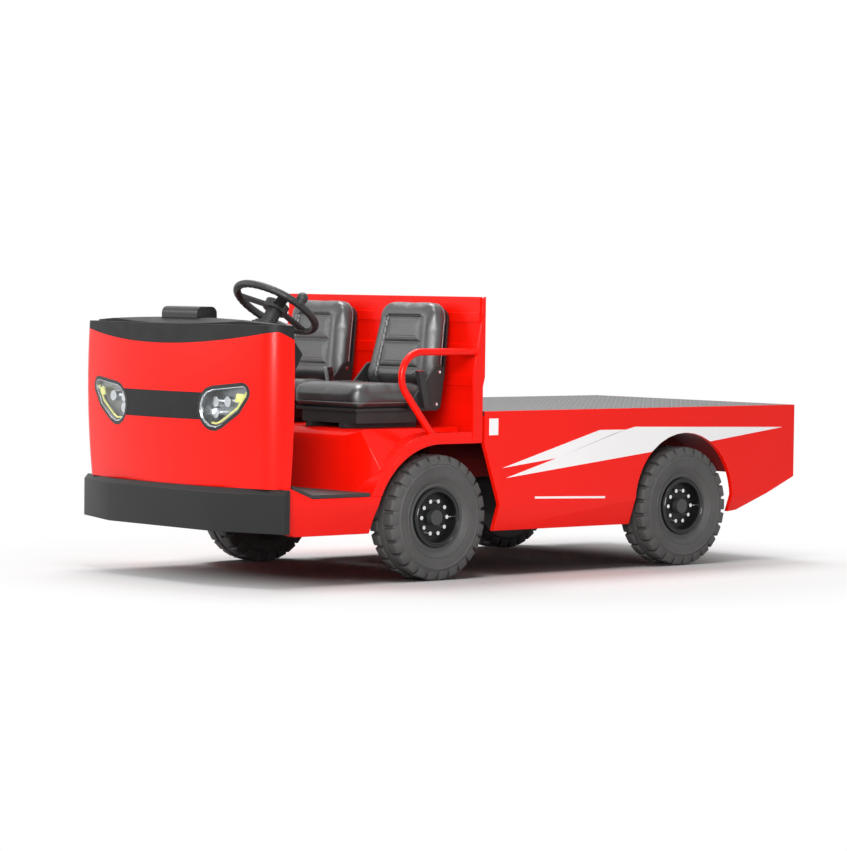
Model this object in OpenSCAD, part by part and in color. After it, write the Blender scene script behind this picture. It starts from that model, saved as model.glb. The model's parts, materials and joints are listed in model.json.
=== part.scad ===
// Electric platform truck: an open two-seat cab ahead of a flat load platform.
// Millimetres. +X is forward, +Y the vehicle's left, +Z up.
// The origin is on the ground at the middle of the overall length.

/* [Overall] */
// Distance between the axle lines
wheelbase = 1625; // [1560:5:1700]
// Front axle line to the face of the front bumper
front_overhang = 1098; // [1080:1:1120]
// Rear axle line to the rear end of the platform
rear_overhang = 787; // [740:1:840]
// Distance between the middles of the two wheels on one axle
track = 1290; // [1270:2:1300]

/* [Wheels] */
// Outside diameter over the lugs
tyre_d = 590; // [570:2:600]
// Section width of a tyre
tyre_w = 176; // [164:1:184]
// Diameter over the rim flanges
rim_d = 276; // [268:1:284]
// Width over the rim flanges
rim_w = 140; // [132:1:146]
// Lugs round each shoulder
lug_count = 22; // [16:1:23]
// Depth of the notches between lugs
lug_depth = 11; // [7:0.5:13]
// Circle of the wheel studs
stud_pcd = 157; // [150:1:164]
// Studs in each wheel
stud_count = 10; // [6:1:12]

/* [Steering] */
// Distance between the two kingpins
kingpin_spacing = 1050; // [1040:2:1060]
// Kingpin diameter
kingpin_d = 32; // [28:1:36]
// Length of the steering arms behind the kingpins
steering_arm_l = 130; // [120:1:140]
// Steering wheel diameter over the rim
steering_wheel_d = 430; // [400:5:440]
// Lean of the steering column from the vertical, in degrees
column_lean = 33; // [28:1:38]

/* [Cab] */
// Width over the cowl and the sills
cab_w = 1460; // [1450:2:1466]
// Thickness of the cowl's wall
cowl_t = 25; // [20:1:28]
// Height of the cowl's front top edge
cowl_top_z = 1195; // [1180:1:1220]
// Height of the cab floor
floor_z = 407; // [400:1:412]
// Height of the seat deck
seat_deck_z = 712; // [705:1:720]
// Width of a seat
seat_w = 490; // [470:2:500]
// Distance between the middles of the two seats
seat_spacing = 680; // [660:2:690]
// Diameter of the hip rail's tube
rail_d = 34; // [30:1:38]

/* [Platform] */
// Width of the load platform
platform_w = 1460; // [1450:2:1466]
// Height of the load deck
deck_z = 790; // [780:1:810]
// Thickness of the deck plate and its rim
deck_t = 22; // [18:1:26]
// Thickness of the platform's side panels
side_t = 24; // [20:1:28]
// Height of the bulkhead's top edge
bulkhead_top_z = 1330; // [1310:1:1350]

/* [Bumper] */
// Width of the bumper
bumper_w = 1550; // [1540:2:1560]
// Width of its middle face
bumper_mid_w = 780; // [740:5:820]
// How far its ends are set back from the middle face
bumper_setback = 133; // [120:1:140]
// Lower edge of the bumper
bumper_low_z = 255; // [245:1:265]
// Top of the bumper
bumper_top_z = 455; // [445:1:460]

/* [Hidden] */
$fn = 64;
fine_fn = 128;
// Facets of the sweeping curves, metres in radius
sweep_fn = 1440;
// One overrun serves every cut
over = 2;
// Gap between neighbouring panels
panel_gap = 0.5;
// Radial clearance of shafts in their bores
running_gap = 0.05;

overall_l = front_overhang + wheelbase + rear_overhang;
front_axle_x = overall_l / 2 - front_overhang;
rear_axle_x = front_axle_x - wheelbase;
rear_end_x = -overall_l / 2;
bumper_x = overall_l / 2;
wheel_y = track / 2;
axle_z = tyre_d / 2;
half_w = cab_w / 2;
platform_half = platform_w / 2;

// Rims and tyres
bead_r_step = 11;
bead_r = rim_d / 2 - bead_r_step;
flange_t = 9;
rim_wall = 7;
disc_t = 10;
disc_out = 34;
hub_l = 70;
cap_r = 36;
cap_l = 34;
nut_r = 11;
nut_h = 16;
bead_gap = 1;
tread_w = 156;
// Each lug as shares of its pitch, with the share of the notch depth there
lug_shares = [[0, 0], [0.68, 0], [0.74, 1], [0.94, 1]];
lug_reach = 46;

// Cowl: one bowed wall swept round a gently curved front
cowl_front_step = 4;
cowl_front_x = bumper_x - cowl_front_step;
cowl_front_r = 3000;
cowl_corner_r = 105;
cowl_bow_r = 5000;
cowl_mid_z = 930;
// The cowl stands out from the sills by this much on each side
cowl_flare = 10;
cowl_half = half_w + cowl_flare;
cowl_low_z = bumper_top_z;
cowl_depth = 208;
cowl_rear_x = cowl_front_x - cowl_depth;
cowl_arc_x = cowl_front_x - cowl_front_r;
cowl_sweep = asin((cowl_half - cowl_corner_r) / (cowl_front_r - cowl_corner_r));
cowl_corner_x = cowl_arc_x + (cowl_front_r - cowl_corner_r) * cos(cowl_sweep);
front_steps = 8;
corner_steps = 7;
bow_steps = 9;
// The black fascia dips into the cowl's front in one arc
fascia_drop = 91;
fascia_edge_drop = 27;
fascia_r = (pow(half_w, 2) + pow(fascia_drop - fascia_edge_drop, 2)) / (2 * (fascia_drop - fascia_edge_drop));
fascia_t_step = 18;
fascia_t = cowl_t + fascia_t_step;
side_slope_l = 114;
side_slope_front_x = cowl_rear_x + side_slope_l;
side_slope_drop = 14;
side_slope_rear_drop = 65;
dash_inset_step = 25;
dash_inset = cowl_t + dash_inset_step;
dash_overhang = 84;
dash_rear_x = cowl_rear_x - dash_overhang;
dash_edge_set = 14;
dash_edge_x = cowl_rear_x - dash_edge_set;
dash_edge_drop = 45;
dash_rear_drop = 130;
dash_low_drop = 259;
crown_rise = 28;
crown_slope_l = 70;
crown_r = (pow(cowl_half, 2) + pow(crown_rise, 2)) / (2 * crown_rise);
pod_w = 270;
pod_h = 50;
pod_round = 32;
pod_l = 120;
pod_lead = 99;
pod_front_x = cowl_rear_x + pod_lead;

// Lamps and the dark band between them
band_low_z = 758;
band_high_z = 883;
band_half = 400;
// Corner circles of a lamp in its outline's order: y, z, radius
eye_corners = [[374, 812, 104], [500, 832, 54], [553, 888, 47]];
eye_steps = 9;
full_turn = 360;
bezel_w = 16;
lens_t = 6;
lamp_back = 82;
lamp_back_t = 8;
projector_r = 24;
projector_l = 26;
projectors = [[352, 842], [352, 790], [440, 844]];

// Bumper
bumper_t = 32;
bumper_bevel_h = 22;
bumper_bevel_d = 20;
bumper_turn = atan(bumper_setback / ((bumper_w - bumper_mid_w) / 2));

// Sills, floor and seat box
// Rings of the front wheel's arch in side view: set back from the axle line, height and radius
arch_ring = [10, 240, 400];
lip_ring = [5, 247, 420];
flare_ring = [0, 254, 440];
arch_top_z = arch_ring[1] + arch_ring[2];
flare_in = 130;
flare_set = 4;
riser_margin = 30;
riser_x = front_axle_x - arch_ring[0] + arch_ring[2] + riser_margin;
sill_top_z = floor_z;
sill_w = 95;
sill_low_z = 233;
crease_z = 363;
sill_tuck = 45;
sill_lead = 42;
sill_front_x = cowl_rear_x + sill_lead;
sill_chin_l = 52;
sill_chin_x = cowl_rear_x - sill_chin_l;
sill_chin_z = 268;
sill_slope_l = 122;
sill_slope_x = cowl_rear_x - sill_slope_l;
slope_rise = (cowl_low_z - floor_z) / (cowl_rear_x - sill_slope_x);
riser_t = 20;
riser_round = 60;
box_half_step = 14;
box_half = half_w - box_half_step;
box_lean_z = 520;
box_flat = 450;
box_r = 480;
box_top_half_step = 115;
box_top_half = half_w - box_top_half_step;
mat_t = 18;
mat_inset = 4;
mat_set = 6;
mat_front_x = cowl_rear_x - mat_set;
toe_lead = 44;
toe_x = cowl_rear_x + toe_lead;
toe_rise = 130;

// Bulkhead with wings at its ends
wing_t = 14;
wing_front_back = 206;
wing_front_x = front_axle_x - wing_front_back;
wing_l = 59;
wing_rear_x = wing_front_x - wing_l;
neck_l = 8;
wing_neck_x = wing_rear_x + neck_l;
wing_fold = 12;
bulkhead_rear_x = wing_rear_x - wing_fold;
wing_low_z = arch_top_z;
wing_shoulder_z = 952;
wing_neck_z = 1224;
sheet_t = 16;
rib_d = 22;
rib_h = 46;
rib_count = 3;
rib_drop = 98;
rib_pitch = 150;

// Hip rails
hip_inset = 2;
hip_y = platform_half - rail_d / 2 - hip_inset;
rail_sides = 20;
bend_steps = 10;
hip_z = 1072;
hip_bend_reach = 110;
hip_bend_x = front_axle_x + hip_bend_reach;
hip_bend_r = 117;
hip_turn = 130;
foot_z = 680;

// Seats
seat_set = 20;
seat_front_x = riser_x - seat_set;
cushion_l = 462;
cushion_low_z = 806;
cushion_t = 104;
cushion_round = 38;
cushion_corner = 60;
runner_h = 22;
base_w = 400;
seat_pan_t = 14;
pan_gap = 0.3;
slide_w = 46;
slide_h = cushion_low_z - seat_deck_z - seat_pan_t - pan_gap;
back_low_step = 96;
back_low_z = cushion_low_z + back_low_step;
back_h = 415;
back_round = 60;
back_top_round = 80;
back_taper = 33;
back_t = 92;
back_lean = 11;
back_lead = 10;
back_front_x = seat_front_x - cushion_l + back_lead;
shell_t = 12;
bracket_t = 14;
// Corners of a recliner bracket from the pan's rear edge: x, z, radius
bracket_corners = [[-22, 32, 32], [118, 24, 24], [-42, 182, 34]];
buckle_w = 26;
buckle_l = 36;
buckle_h = 190;
buckle_x = 74;
buckle_rise = 14;
buckle_lean = 40;

// Steering column and wheel
wheel_set = 122;
wheel_hub_x = dash_rear_x - wheel_set;
wheel_hub_y = 340;
wheel_hub_z = 1272;
wheel_rim_r = 15;
column_r = 36;
column_l = 230;
shroud_r = 62;
shroud_l = 150;
shaft_r = 11;
shaft_l = 44;
hub_boss_r = 58;
hub_boss_h = 40;
spoke_w = 50;
spoke_t = 10;
spoke_count = 3;
knob_turn = 82;
knob_r = 21;
knob_h = 44;
stalk_r = 6;
stalk_l = 120;

// Pedals
pedal_w = 70;
pedal_h = 90;
pedal_t = 14;
pedal_lift = 70;
pedal_set = 80;
pedal_x = toe_x - pedal_set;
pedal_lean = 25;
pedal_places = [190, 330];

// Frame rails: low under the cab floor, raised over the front axle
rail_w = 80;
rail_in_y = 250;
rail_out_y = rail_in_y + rail_w;
rail_h = 100;
floor_t = 15;
rail_low_z = floor_z - floor_t - rail_h;
rail_high_z = 450;
rail_front_x = bumper_x - bumper_t;
rail_rear_step = 40;
rail_rear_x = rear_end_x + rail_rear_step;
cross_l = 60;
kick_l = 70;
rail_gap = 5;
kick_front_x = riser_x - riser_t - rail_gap;
kick_rear_x = kick_front_x - kick_l;
rail_top_z = rail_high_z + rail_h;

// Axles and suspension
beam_h = 70;
beam_w = 64;
beam_half = kingpin_spacing / 2;
eye_r = 32;
eye_h = 76;
fork_h = 30;
fork_gap = 1;
hub_gap = 2;
spring_pad_t = 8;
spindle_r = 25;
hub_r = 62;
housing_r = 52;
diff_r = 135;
leaf_w = 60;
leaf_t = 9;
leaf_count = 4;
leaf_y = rail_in_y + rail_w / 2;
leaf_span = 430;
leaf_r = 1300;
leaf_step_share = 0.2;
hanger_w = 50;
tie_rod_r = 13;
tie_rod_step = 82;
tie_rod_z = axle_z - tie_rod_step;
tie_pin_r = 9;
arm_t = 18;

// Platform
platform_gap = 2;
platform_front_x = bulkhead_rear_x - platform_gap;
platform_nose_z = 632;
platform_chin_l = 101;
platform_chin_x = platform_front_x - platform_chin_l;
platform_crease_z = 345;
platform_low_z = 216;
platform_tuck = 46;
tail_low_z = 262;
tail_corner_z = 423;
rear_arch_r = 340;
tail_rise_x = rear_axle_x - rear_arch_r;
tail_corner_l = 60;
tail_corner_x = tail_rise_x - tail_corner_l;
rear_arch_lift = 25;
rim_t = 6;
liner_t = 10;
liner_w = 210;
liner_low_z = 457;
bearer_w = 40;
cross_count = 5;
cross_w = 60;
tail_lamp_w = 60;
tail_lamp_h = 170;
tail_lamp_inset = 30;
tail_lamp_low_z = 520;

// Tow jaw at the tail
jaw_w = 120;
jaw_h = 150;
jaw_l = 180;
jaw_slot_l = 120;
jaw_pin_x = 45;
jaw_slot = 70;
jaw_pin_r = 16;
jaw_z = 330;

// Battery and motor
battery_l = 780;
battery_h = 360;
battery_w = 480;
battery_lip = 16;
motor_r = 120;
motor_l = 330;
battery_gap = 50;
battery_front_x = rear_axle_x + diff_r + panel_gap + motor_l + battery_gap + battery_l;

paint = "#e8321f";
dark_paint = "#7a1a16";
charcoal = "#2b2b2d";
black = "#1a1a1c";
steel = "#8d9094";

// A side-view outline [x, z] carried across from y0 to y1
module side_prism(points, y0, y1) {
  translate([0, y1, 0]) rotate([90, 0, 0]) linear_extrude(y1 - y0) polygon(points);
}

// A front-view outline carried from x0 to x1; children draw it in [y, z]
module front_prism(x0, x1) {
  translate([x0, 0, 0]) rotate([90, 0, 90]) linear_extrude(x1 - x0) children();
}

// A block given by two corners
module block(low, high) {
  translate(low) cube(high - low);
}

// A cylinder lying across the vehicle
module cross_rod(x, z, r, y0, y1) {
  translate([x, y0, z]) rotate([-90, 0, 0]) cylinder(r = r, h = y1 - y0);
}

// A rectangle with round corners, its low corner at the origin
module round_rect(size, r) {
  translate([r, 0]) square([size[0] - 2 * r, size[1]]);
  translate([0, r]) square([size[0], size[1] - 2 * r]);
  for (x = [r, size[0] - r], y = [r, size[1] - r])
    translate([x, y]) circle(r);
}

module both_sides() {
  children();
  mirror([0, 1, 0]) children();
}

// Frame
module rail() {
  side_prism([
    [rail_front_x, rail_low_z],
    [rail_front_x, rail_low_z + rail_h],
    [kick_front_x, rail_low_z + rail_h],
    [kick_rear_x, rail_top_z],
    [rail_rear_x, rail_top_z],
    [rail_rear_x, rail_high_z],
    [kick_rear_x - cross_l, rail_high_z],
    [kick_front_x - cross_l, rail_low_z]
  ], rail_in_y, rail_out_y);
}

// Crossmembers: front edge and bottom of each
cross_places = [
  [rail_front_x - cross_l, rail_low_z],
  [kick_front_x + cross_l, rail_low_z],
  [front_axle_x - cross_l / 2, rail_high_z],
  [rail_rear_x, rail_high_z]
];

module chassis_frame() {
  color(dark_paint) {
    both_sides() rail();
    for (place = cross_places)
      block([place[0], -rail_in_y - over, place[1]],
            [place[0] + cross_l, rail_in_y + over, place[1] + rail_h]);
  }
}

// Front beam with its kingpins; the knuckles' forks close round each end
module front_axle() {
  color(charcoal) {
    block([front_axle_x - beam_w / 2, -beam_half, axle_z - beam_h / 2],
          [front_axle_x + beam_w / 2, beam_half, axle_z + beam_h / 2]);
    for (side = [-1, 1])
      translate([front_axle_x, side * beam_half, axle_z]) {
        translate([0, 0, -eye_h / 2]) cylinder(r = eye_r, h = eye_h);
        translate([0, 0, -eye_h / 2 - fork_h - fork_gap])
          cylinder(d = kingpin_d, h = eye_h + 2 * (fork_h + fork_gap));
      }
  }
}

// A leaf pack, bowed down at its ends' level, with its hangers; seat_z is the axle pad's top
module leaf_pack(axle_x, seat_z) {
  arc_z = seat_z + leaf_r;
  for (i = [0 : leaf_count - 1]) {
    span = leaf_span * (1 - i * leaf_step_share);
    intersection() {
      translate([axle_x, leaf_y - leaf_w / 2, arc_z]) rotate([-90, 0, 0]) difference() {
        cylinder(r = leaf_r - leaf_t * (leaf_count - 1 - i), h = leaf_w, $fn = fine_fn);
        translate([0, 0, -over])
          cylinder(r = leaf_r - leaf_t * (leaf_count - i), h = leaf_w + 2 * over, $fn = fine_fn);
      }
      block([axle_x - span / 2, leaf_y - leaf_w, seat_z - over],
            [axle_x + span / 2, leaf_y + leaf_w, arc_z]);
    }
  }
}

leaf_rise = leaf_r - sqrt(pow(leaf_r, 2) - pow(leaf_span / 2, 2));
leaf_pack_t = leaf_t * leaf_count;

// Hanger at each end of a leaf pack, down from the rail's underside
module leaf_hangers(axle_x, seat_z) {
  end_z = seat_z + leaf_pack_t - leaf_t + leaf_rise;
  for (end = [-1, 1])
    block([axle_x + end * leaf_span / 2 - hanger_w / 2, leaf_y - leaf_w / 2, end_z - leaf_t],
          [axle_x + end * leaf_span / 2 + hanger_w / 2, leaf_y + leaf_w / 2, rail_high_z]);
}

module leaf_springs() {
  color(black) both_sides() {
    leaf_pack(front_axle_x, axle_z + beam_h / 2);
    leaf_hangers(front_axle_x, axle_z + beam_h / 2);
    leaf_pack(rear_axle_x, axle_z + housing_r + spring_pad_t);
    leaf_hangers(rear_axle_x, axle_z + housing_r + spring_pad_t);
  }
}

// Rear axle housing, flat on top under the leaf packs
module rear_axle() {
  spindle_end = wheel_y + disc_out;
  housing_end = wheel_y - hub_l / 2 - hub_gap;
  color(charcoal) {
    translate([rear_axle_x, 0, axle_z]) rotate([-90, 0, 0]) rotate_extrude($fn = fine_fn) {
      translate([0, -housing_end]) square([housing_r, 2 * housing_end]);
      translate([0, -spindle_end]) square([spindle_r, 2 * spindle_end]);
      intersection() {
        circle(diff_r, $fn = fine_fn);
        translate([0, -diff_r]) square([diff_r, 2 * diff_r]);
      }
    }
    for (side = [-1, 1])
      block([rear_axle_x - leaf_w / 2, side * leaf_y - leaf_w / 2, axle_z],
            [rear_axle_x + leaf_w / 2, side * leaf_y + leaf_w / 2, axle_z + housing_r + spring_pad_t]);
  }
}

// The traction motor stands ahead of the differential
module drive_motor() {
  color(steel) translate([rear_axle_x + diff_r + panel_gap, 0, axle_z]) rotate([0, 90, 0])
    cylinder(r = motor_r, h = motor_l);
}

// Battery case hung between the rails by its side lips
module battery_box() {
  top = rail_top_z + battery_lip;
  color(charcoal) {
    block([battery_front_x - battery_l, -battery_w / 2, top - battery_h],
          [battery_front_x, battery_w / 2, top]);
    block([battery_front_x - battery_l, -rail_in_y - battery_lip, rail_top_z],
          [battery_front_x, rail_in_y + battery_lip, top]);
  }
}

// Steering knuckle: two fork eyes on the kingpin, a web, the spindle and the steering arm
module knuckle() {
  spindle_end = wheel_y + disc_out;
  web_y = beam_half + eye_r + fork_gap;
  eye_z = eye_h / 2 + fork_gap;
  color(charcoal) difference() {
    union() {
      for (level = [-eye_z - fork_h, eye_z])
        translate([front_axle_x, beam_half, axle_z + level]) {
          cylinder(r = eye_r, h = fork_h);
          block([-eye_r, 0, 0], [eye_r, eye_r + fork_gap + over, fork_h]);
        }
      block([front_axle_x - eye_r, web_y, axle_z - eye_z - fork_h],
            [front_axle_x + eye_r, wheel_y - hub_l / 2 - hub_gap, axle_z + eye_z + fork_h]);
      cross_rod(front_axle_x, axle_z, spindle_r, web_y, spindle_end);
      block([front_axle_x - steering_arm_l, beam_half - arm_t, axle_z - eye_z - fork_h],
            [front_axle_x, beam_half + arm_t, axle_z - eye_z - fork_h + arm_t]);
      translate([front_axle_x - steering_arm_l, beam_half, axle_z - eye_z - fork_h])
        cylinder(r = arm_t, h = arm_t);
      translate([front_axle_x - steering_arm_l, beam_half, tie_rod_z - tie_rod_r])
        cylinder(r = tie_pin_r, h = axle_z - eye_z - fork_h - tie_rod_z + tie_rod_r + over);
    }
    translate([front_axle_x, beam_half, axle_z - eye_z - fork_h - over])
      cylinder(r = kingpin_d / 2 + running_gap, h = 2 * (eye_z + fork_h + over));
  }
}

module knuckle_left() { knuckle(); }
module knuckle_right() { mirror([0, 1, 0]) knuckle(); }

// Tie rod between the steering arms' pins
module tie_rod() {
  x = front_axle_x - steering_arm_l;
  color(charcoal) difference() {
    union() {
      cross_rod(x, tie_rod_z, tie_rod_r, -beam_half, beam_half);
      for (side = [-1, 1])
        translate([x, side * beam_half, tie_rod_z - tie_rod_r]) cylinder(r = arm_t, h = 2 * tie_rod_r);
    }
    for (side = [-1, 1])
      translate([x, side * beam_half, tie_rod_z - tie_rod_r - over])
        cylinder(r = tie_pin_r + running_gap, h = 2 * (tie_rod_r + over));
  }
}

// Wheels are drawn at the origin with the axle along Y and the outer face towards +Y
// A tyre's section as [radius, y]; notch lowers both shoulders
function tyre_section(notch) =
  let (bead = rim_w / 2 - flange_t, mid_r = (tyre_d / 2 + bead_r) / 2, crown_r = tyre_d / 2)
  [
    [rim_d / 2 + bead_gap, -bead],
    [mid_r, -tyre_w / 2],
    [crown_r - notch, -tread_w / 2],
    [crown_r, lug_reach - tread_w / 2],
    [crown_r, tread_w / 2 - lug_reach],
    [crown_r - notch, tread_w / 2],
    [mid_r, tyre_w / 2],
    [rim_d / 2 + bead_gap, bead]
  ];

// The section carried round the axle, four stations to a lug
module tyre() {
  pitch = 360 / lug_count;
  stations = [for (i = [0 : lug_count - 1], e = lug_shares) [(i + e[0]) * pitch, e[1] * lug_depth]];
  n = len(tyre_section(0));
  m = len(stations);
  color(black) polyhedron(
    [for (s = stations, e = tyre_section(s[1])) [-e[0] * sin(s[0]), e[1], -e[0] * cos(s[0])]],
    [for (k = [0 : m - 1], i = [0 : n - 1], half = [0, 1])
      let (j = (i + 1) % n, here = k * n, next = ((k + 1) % m) * n)
      half == 0 ? [here + i, next + j, here + j] : [here + i, next + i, next + j]]
  );
}

// Rim with its disc, studs and hub, bored for the spindle
module rim() {
  half = rim_w / 2;
  color(charcoal) rotate([-90, 0, 0]) difference() {
    union() {
      rotate_extrude($fn = fine_fn) polygon([
        [bead_r - rim_wall, -half],
        [rim_d / 2, -half],
        [rim_d / 2, half],
        [bead_r - rim_wall, half]
      ]);
      translate([0, 0, disc_out - disc_t]) cylinder(r = bead_r - rim_wall / 2, h = disc_t, $fn = fine_fn);
      translate([0, 0, -hub_l / 2]) cylinder(r = hub_r, h = hub_l / 2 + disc_out);
      translate([0, 0, disc_out - over]) cylinder(r = cap_r, h = cap_l + over);
      for (i = [0 : stud_count - 1])
        rotate([0, 0, i * 360 / stud_count]) translate([stud_pcd / 2, 0, disc_out - over])
          cylinder(r = nut_r, h = nut_h + over, $fn = 6);
    }
    translate([0, 0, -hub_l]) cylinder(r = spindle_r + running_gap, h = hub_l + disc_out + disc_t + over);
  }
}

// Corners of the vehicle: axle line and side
module at_wheel(axle_x, side) {
  translate([axle_x, side * wheel_y, axle_z]) mirror([0, side < 0 ? 1 : 0, 0]) children();
}

module tyre_front_left() { at_wheel(front_axle_x, 1) tyre(); }
module tyre_front_right() { at_wheel(front_axle_x, -1) tyre(); }
module tyre_rear_left() { at_wheel(rear_axle_x, 1) tyre(); }
module tyre_rear_right() { at_wheel(rear_axle_x, -1) tyre(); }
module rim_front_left() { at_wheel(front_axle_x, 1) rim(); }
module rim_front_right() { at_wheel(front_axle_x, -1) rim(); }
module rim_rear_left() { at_wheel(rear_axle_x, 1) rim(); }
module rim_rear_right() { at_wheel(rear_axle_x, -1) rim(); }

// Bumper: three faces with a bevelled top edge, mitred where they meet
module bumper_face() {
  side_prism([
    [-bumper_w, bumper_low_z],
    [0, bumper_low_z],
    [0, bumper_top_z - bumper_bevel_h],
    [-bumper_bevel_d, bumper_top_z],
    [-bumper_w, bumper_top_z]
  ], -bumper_w, bumper_w);
}

module bumper_body() {
  intersection() {
    translate([bumper_x, 0, 0]) bumper_face();
    translate([bumper_x, -bumper_mid_w / 2, 0]) rotate([0, 0, -bumper_turn]) bumper_face();
    translate([bumper_x, bumper_mid_w / 2, 0]) rotate([0, 0, bumper_turn]) bumper_face();
    block([0, -bumper_w / 2, 0], [bumper_x, bumper_w / 2, bumper_top_z]);
  }
}

module bumper() {
  hollow_x = bumper_x - bumper_t;
  half_mid = bumper_mid_w / 2;
  color(charcoal) difference() {
    bumper_body();
    translate([0, 0, bumper_low_z - over]) linear_extrude(bumper_top_z) polygon([
      [0, -bumper_w],
      [hollow_x - bumper_setback * bumper_w / (bumper_w - bumper_mid_w), -bumper_w / 2 - half_mid],
      [hollow_x, -half_mid],
      [hollow_x, half_mid],
      [hollow_x - bumper_setback * bumper_w / (bumper_w - bumper_mid_w), bumper_w / 2 + half_mid],
      [0, bumper_w]
    ]);
  }
}

// Plan of the cowl's skin as [x, y, outward angle], from the right rear edge round to the left
function front_station(a) = [cowl_arc_x + cowl_front_r * cos(a), cowl_front_r * sin(a), a];
function corner_station(a, side) = [
  cowl_corner_x + cowl_corner_r * cos(a),
  side * (cowl_half - cowl_corner_r + cowl_corner_r * sin(a)),
  side * a
];
function corner_angle(i) = cowl_sweep + (90 - cowl_sweep) * i / corner_steps;
cowl_stations = concat(
  [[cowl_rear_x, -cowl_half, -90]],
  [for (i = [corner_steps : -1 : 1]) corner_station(corner_angle(i), -1)],
  [for (i = [-front_steps : front_steps]) front_station(cowl_sweep * i / front_steps)],
  [for (i = [1 : corner_steps]) corner_station(corner_angle(i), 1)],
  [[cowl_rear_x, cowl_half, 90]]
);
// How far the bowed skin lies behind its middle at height z
function bow(z) = cowl_bow_r - sqrt(pow(cowl_bow_r, 2) - pow(z - cowl_mid_z, 2));
function skin_point(station, depth) = [
  station[0] - depth * cos(station[2]),
  station[1] - depth * sin(station[2])
];

// Wall between two depths below the skin, its section carried from station to station
module cowl_wall(depth_0, depth_1, low_z, high_z) {
  levels = [for (k = [0 : bow_steps]) low_z + (high_z - low_z) * k / bow_steps];
  loop = concat(
    [for (k = [0 : bow_steps]) [levels[k], depth_0]],
    [for (k = [bow_steps : -1 : 0]) [levels[k], depth_1]]
  );
  n = len(loop);
  last = len(cowl_stations) - 1;
  polyhedron(
    [for (s = cowl_stations, e = loop) concat(skin_point(s, e[1] + bow(e[0])), e[0])],
    concat(
      [[for (i = [n - 1 : -1 : 0]) i]],
      [for (k = [0 : last - 1], i = [0 : n - 1], half = [0, 1])
        let (j = (i + 1) % n, here = k * n, next = (k + 1) * n)
        half == 0 ? [here + i, here + j, next + j] : [here + i, next + j, next + i]],
      [[for (i = [0 : n - 1]) last * n + i]]
    )
  );
}

// Everything above the cowl's top edge: the fascia's arc in front, a slope along the sides
module above_cowl(gap) {
  slope_z = cowl_top_z - side_slope_drop + gap;
  slope = (side_slope_rear_drop - side_slope_drop) / (side_slope_front_x - cowl_rear_x);
  translate([cowl_corner_x - cowl_corner_r, 0, cowl_top_z - fascia_drop + fascia_r + gap])
    rotate([0, 90, 0]) cylinder(r = fascia_r, h = cowl_front_x, $fn = sweep_fn);
  side_prism([
    [side_slope_front_x, slope_z],
    [side_slope_front_x, cowl_top_z + fascia_drop],
    [cowl_rear_x - fascia_drop, cowl_top_z + fascia_drop],
    [cowl_rear_x - fascia_drop, slope_z - slope * (side_slope_front_x - cowl_rear_x + fascia_drop)]
  ], -cab_w, cab_w);
}

// Outline of round corners, each [u, v, radius], joined by straight edges and inset all round
function edge_angle(a, b) =
  let (du = b[0] - a[0], dv = b[1] - a[1])
  atan2(dv, du) - acos((a[2] - b[2]) / norm([du, dv]));
function round_points(corners, inset) = [
  for (i = [0 : len(corners) - 1])
    let (n = len(corners), here = corners[i], before = corners[(i + n - 1) % n], after = corners[(i + 1) % n])
    let (start = edge_angle(before, here))
    let (turn = (edge_angle(here, after) - start + 2 * full_turn) % full_turn)
    for (k = [0 : eye_steps])
      let (a = start + turn * k / eye_steps)
      [here[0] + (here[2] - inset) * cos(a), here[1] + (here[2] - inset) * sin(a)]
];
module eye(inset) {
  polygon(round_points(eye_corners, inset));
}

module eyes(inset) {
  eye(inset);
  mirror([1, 0]) eye(inset);
}

module band_outline(inset) {
  translate([-band_half, band_low_z + inset]) square([2 * band_half, band_high_z - band_low_z - 2 * inset]);
}

module front_cowl() {
  color(paint) difference() {
    cowl_wall(0, cowl_t, cowl_low_z, cowl_top_z);
    above_cowl(0);
    front_prism(cowl_corner_x, bumper_x + over) {
      eyes(0);
      band_outline(0);
    }
  }
}

// Body of the dash: a crowned top that falls away to the front edge and to the driver
module dash_body() {
  low_z = cowl_top_z - dash_low_drop;
  high_z = cowl_top_z + crown_rise;
  intersection() {
    linear_extrude(high_z) polygon(concat(
      [[dash_rear_x, dash_inset - cowl_half]],
      [for (i = [1 : len(cowl_stations) - 2]) skin_point(cowl_stations[i], dash_inset)],
      [[dash_rear_x, cowl_half - dash_inset]]
    ));
    side_prism([
      [bumper_x, cowl_top_z],
      [cowl_front_x - dash_inset, cowl_top_z],
      [cowl_front_x - dash_inset - crown_slope_l, high_z],
      [cowl_corner_x, high_z],
      [dash_edge_x, cowl_top_z - dash_edge_drop],
      [dash_rear_x, cowl_top_z - dash_rear_drop],
      [dash_edge_x, low_z],
      [bumper_x, low_z]
    ], -cowl_half, cowl_half);
    translate([dash_rear_x - dash_overhang, 0, high_z - crown_r])
      rotate([0, 90, 0]) cylinder(r = crown_r, h = bumper_x, $fn = sweep_fn);
  }
}

// Dash: black fascia along the cowl's top edge, and the moulded body behind it
module dash() {
  color(charcoal) {
    intersection() {
      cowl_wall(panel_gap, fascia_t, cowl_low_z, cowl_top_z);
      above_cowl(panel_gap);
      block([cowl_rear_x + panel_gap, -cowl_half, 0], [bumper_x, cowl_half, cowl_top_z]);
    }
    dash_body();
  }
}

// Instrument hood on the dash, in the middle of the cab
module instrument_pod() {
  color(black) difference() {
    translate([pod_front_x - pod_l, pod_w / 2, cowl_top_z + crown_rise - pod_h]) rotate([90, 0, 0])
      linear_extrude(pod_w) round_rect([pod_l, 2 * pod_h], pod_round);
    block([dash_rear_x - pod_l, -pod_w, 0], [bumper_x, pod_w, cowl_top_z - dash_edge_drop]);
    dash_body();
  }
}

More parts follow.
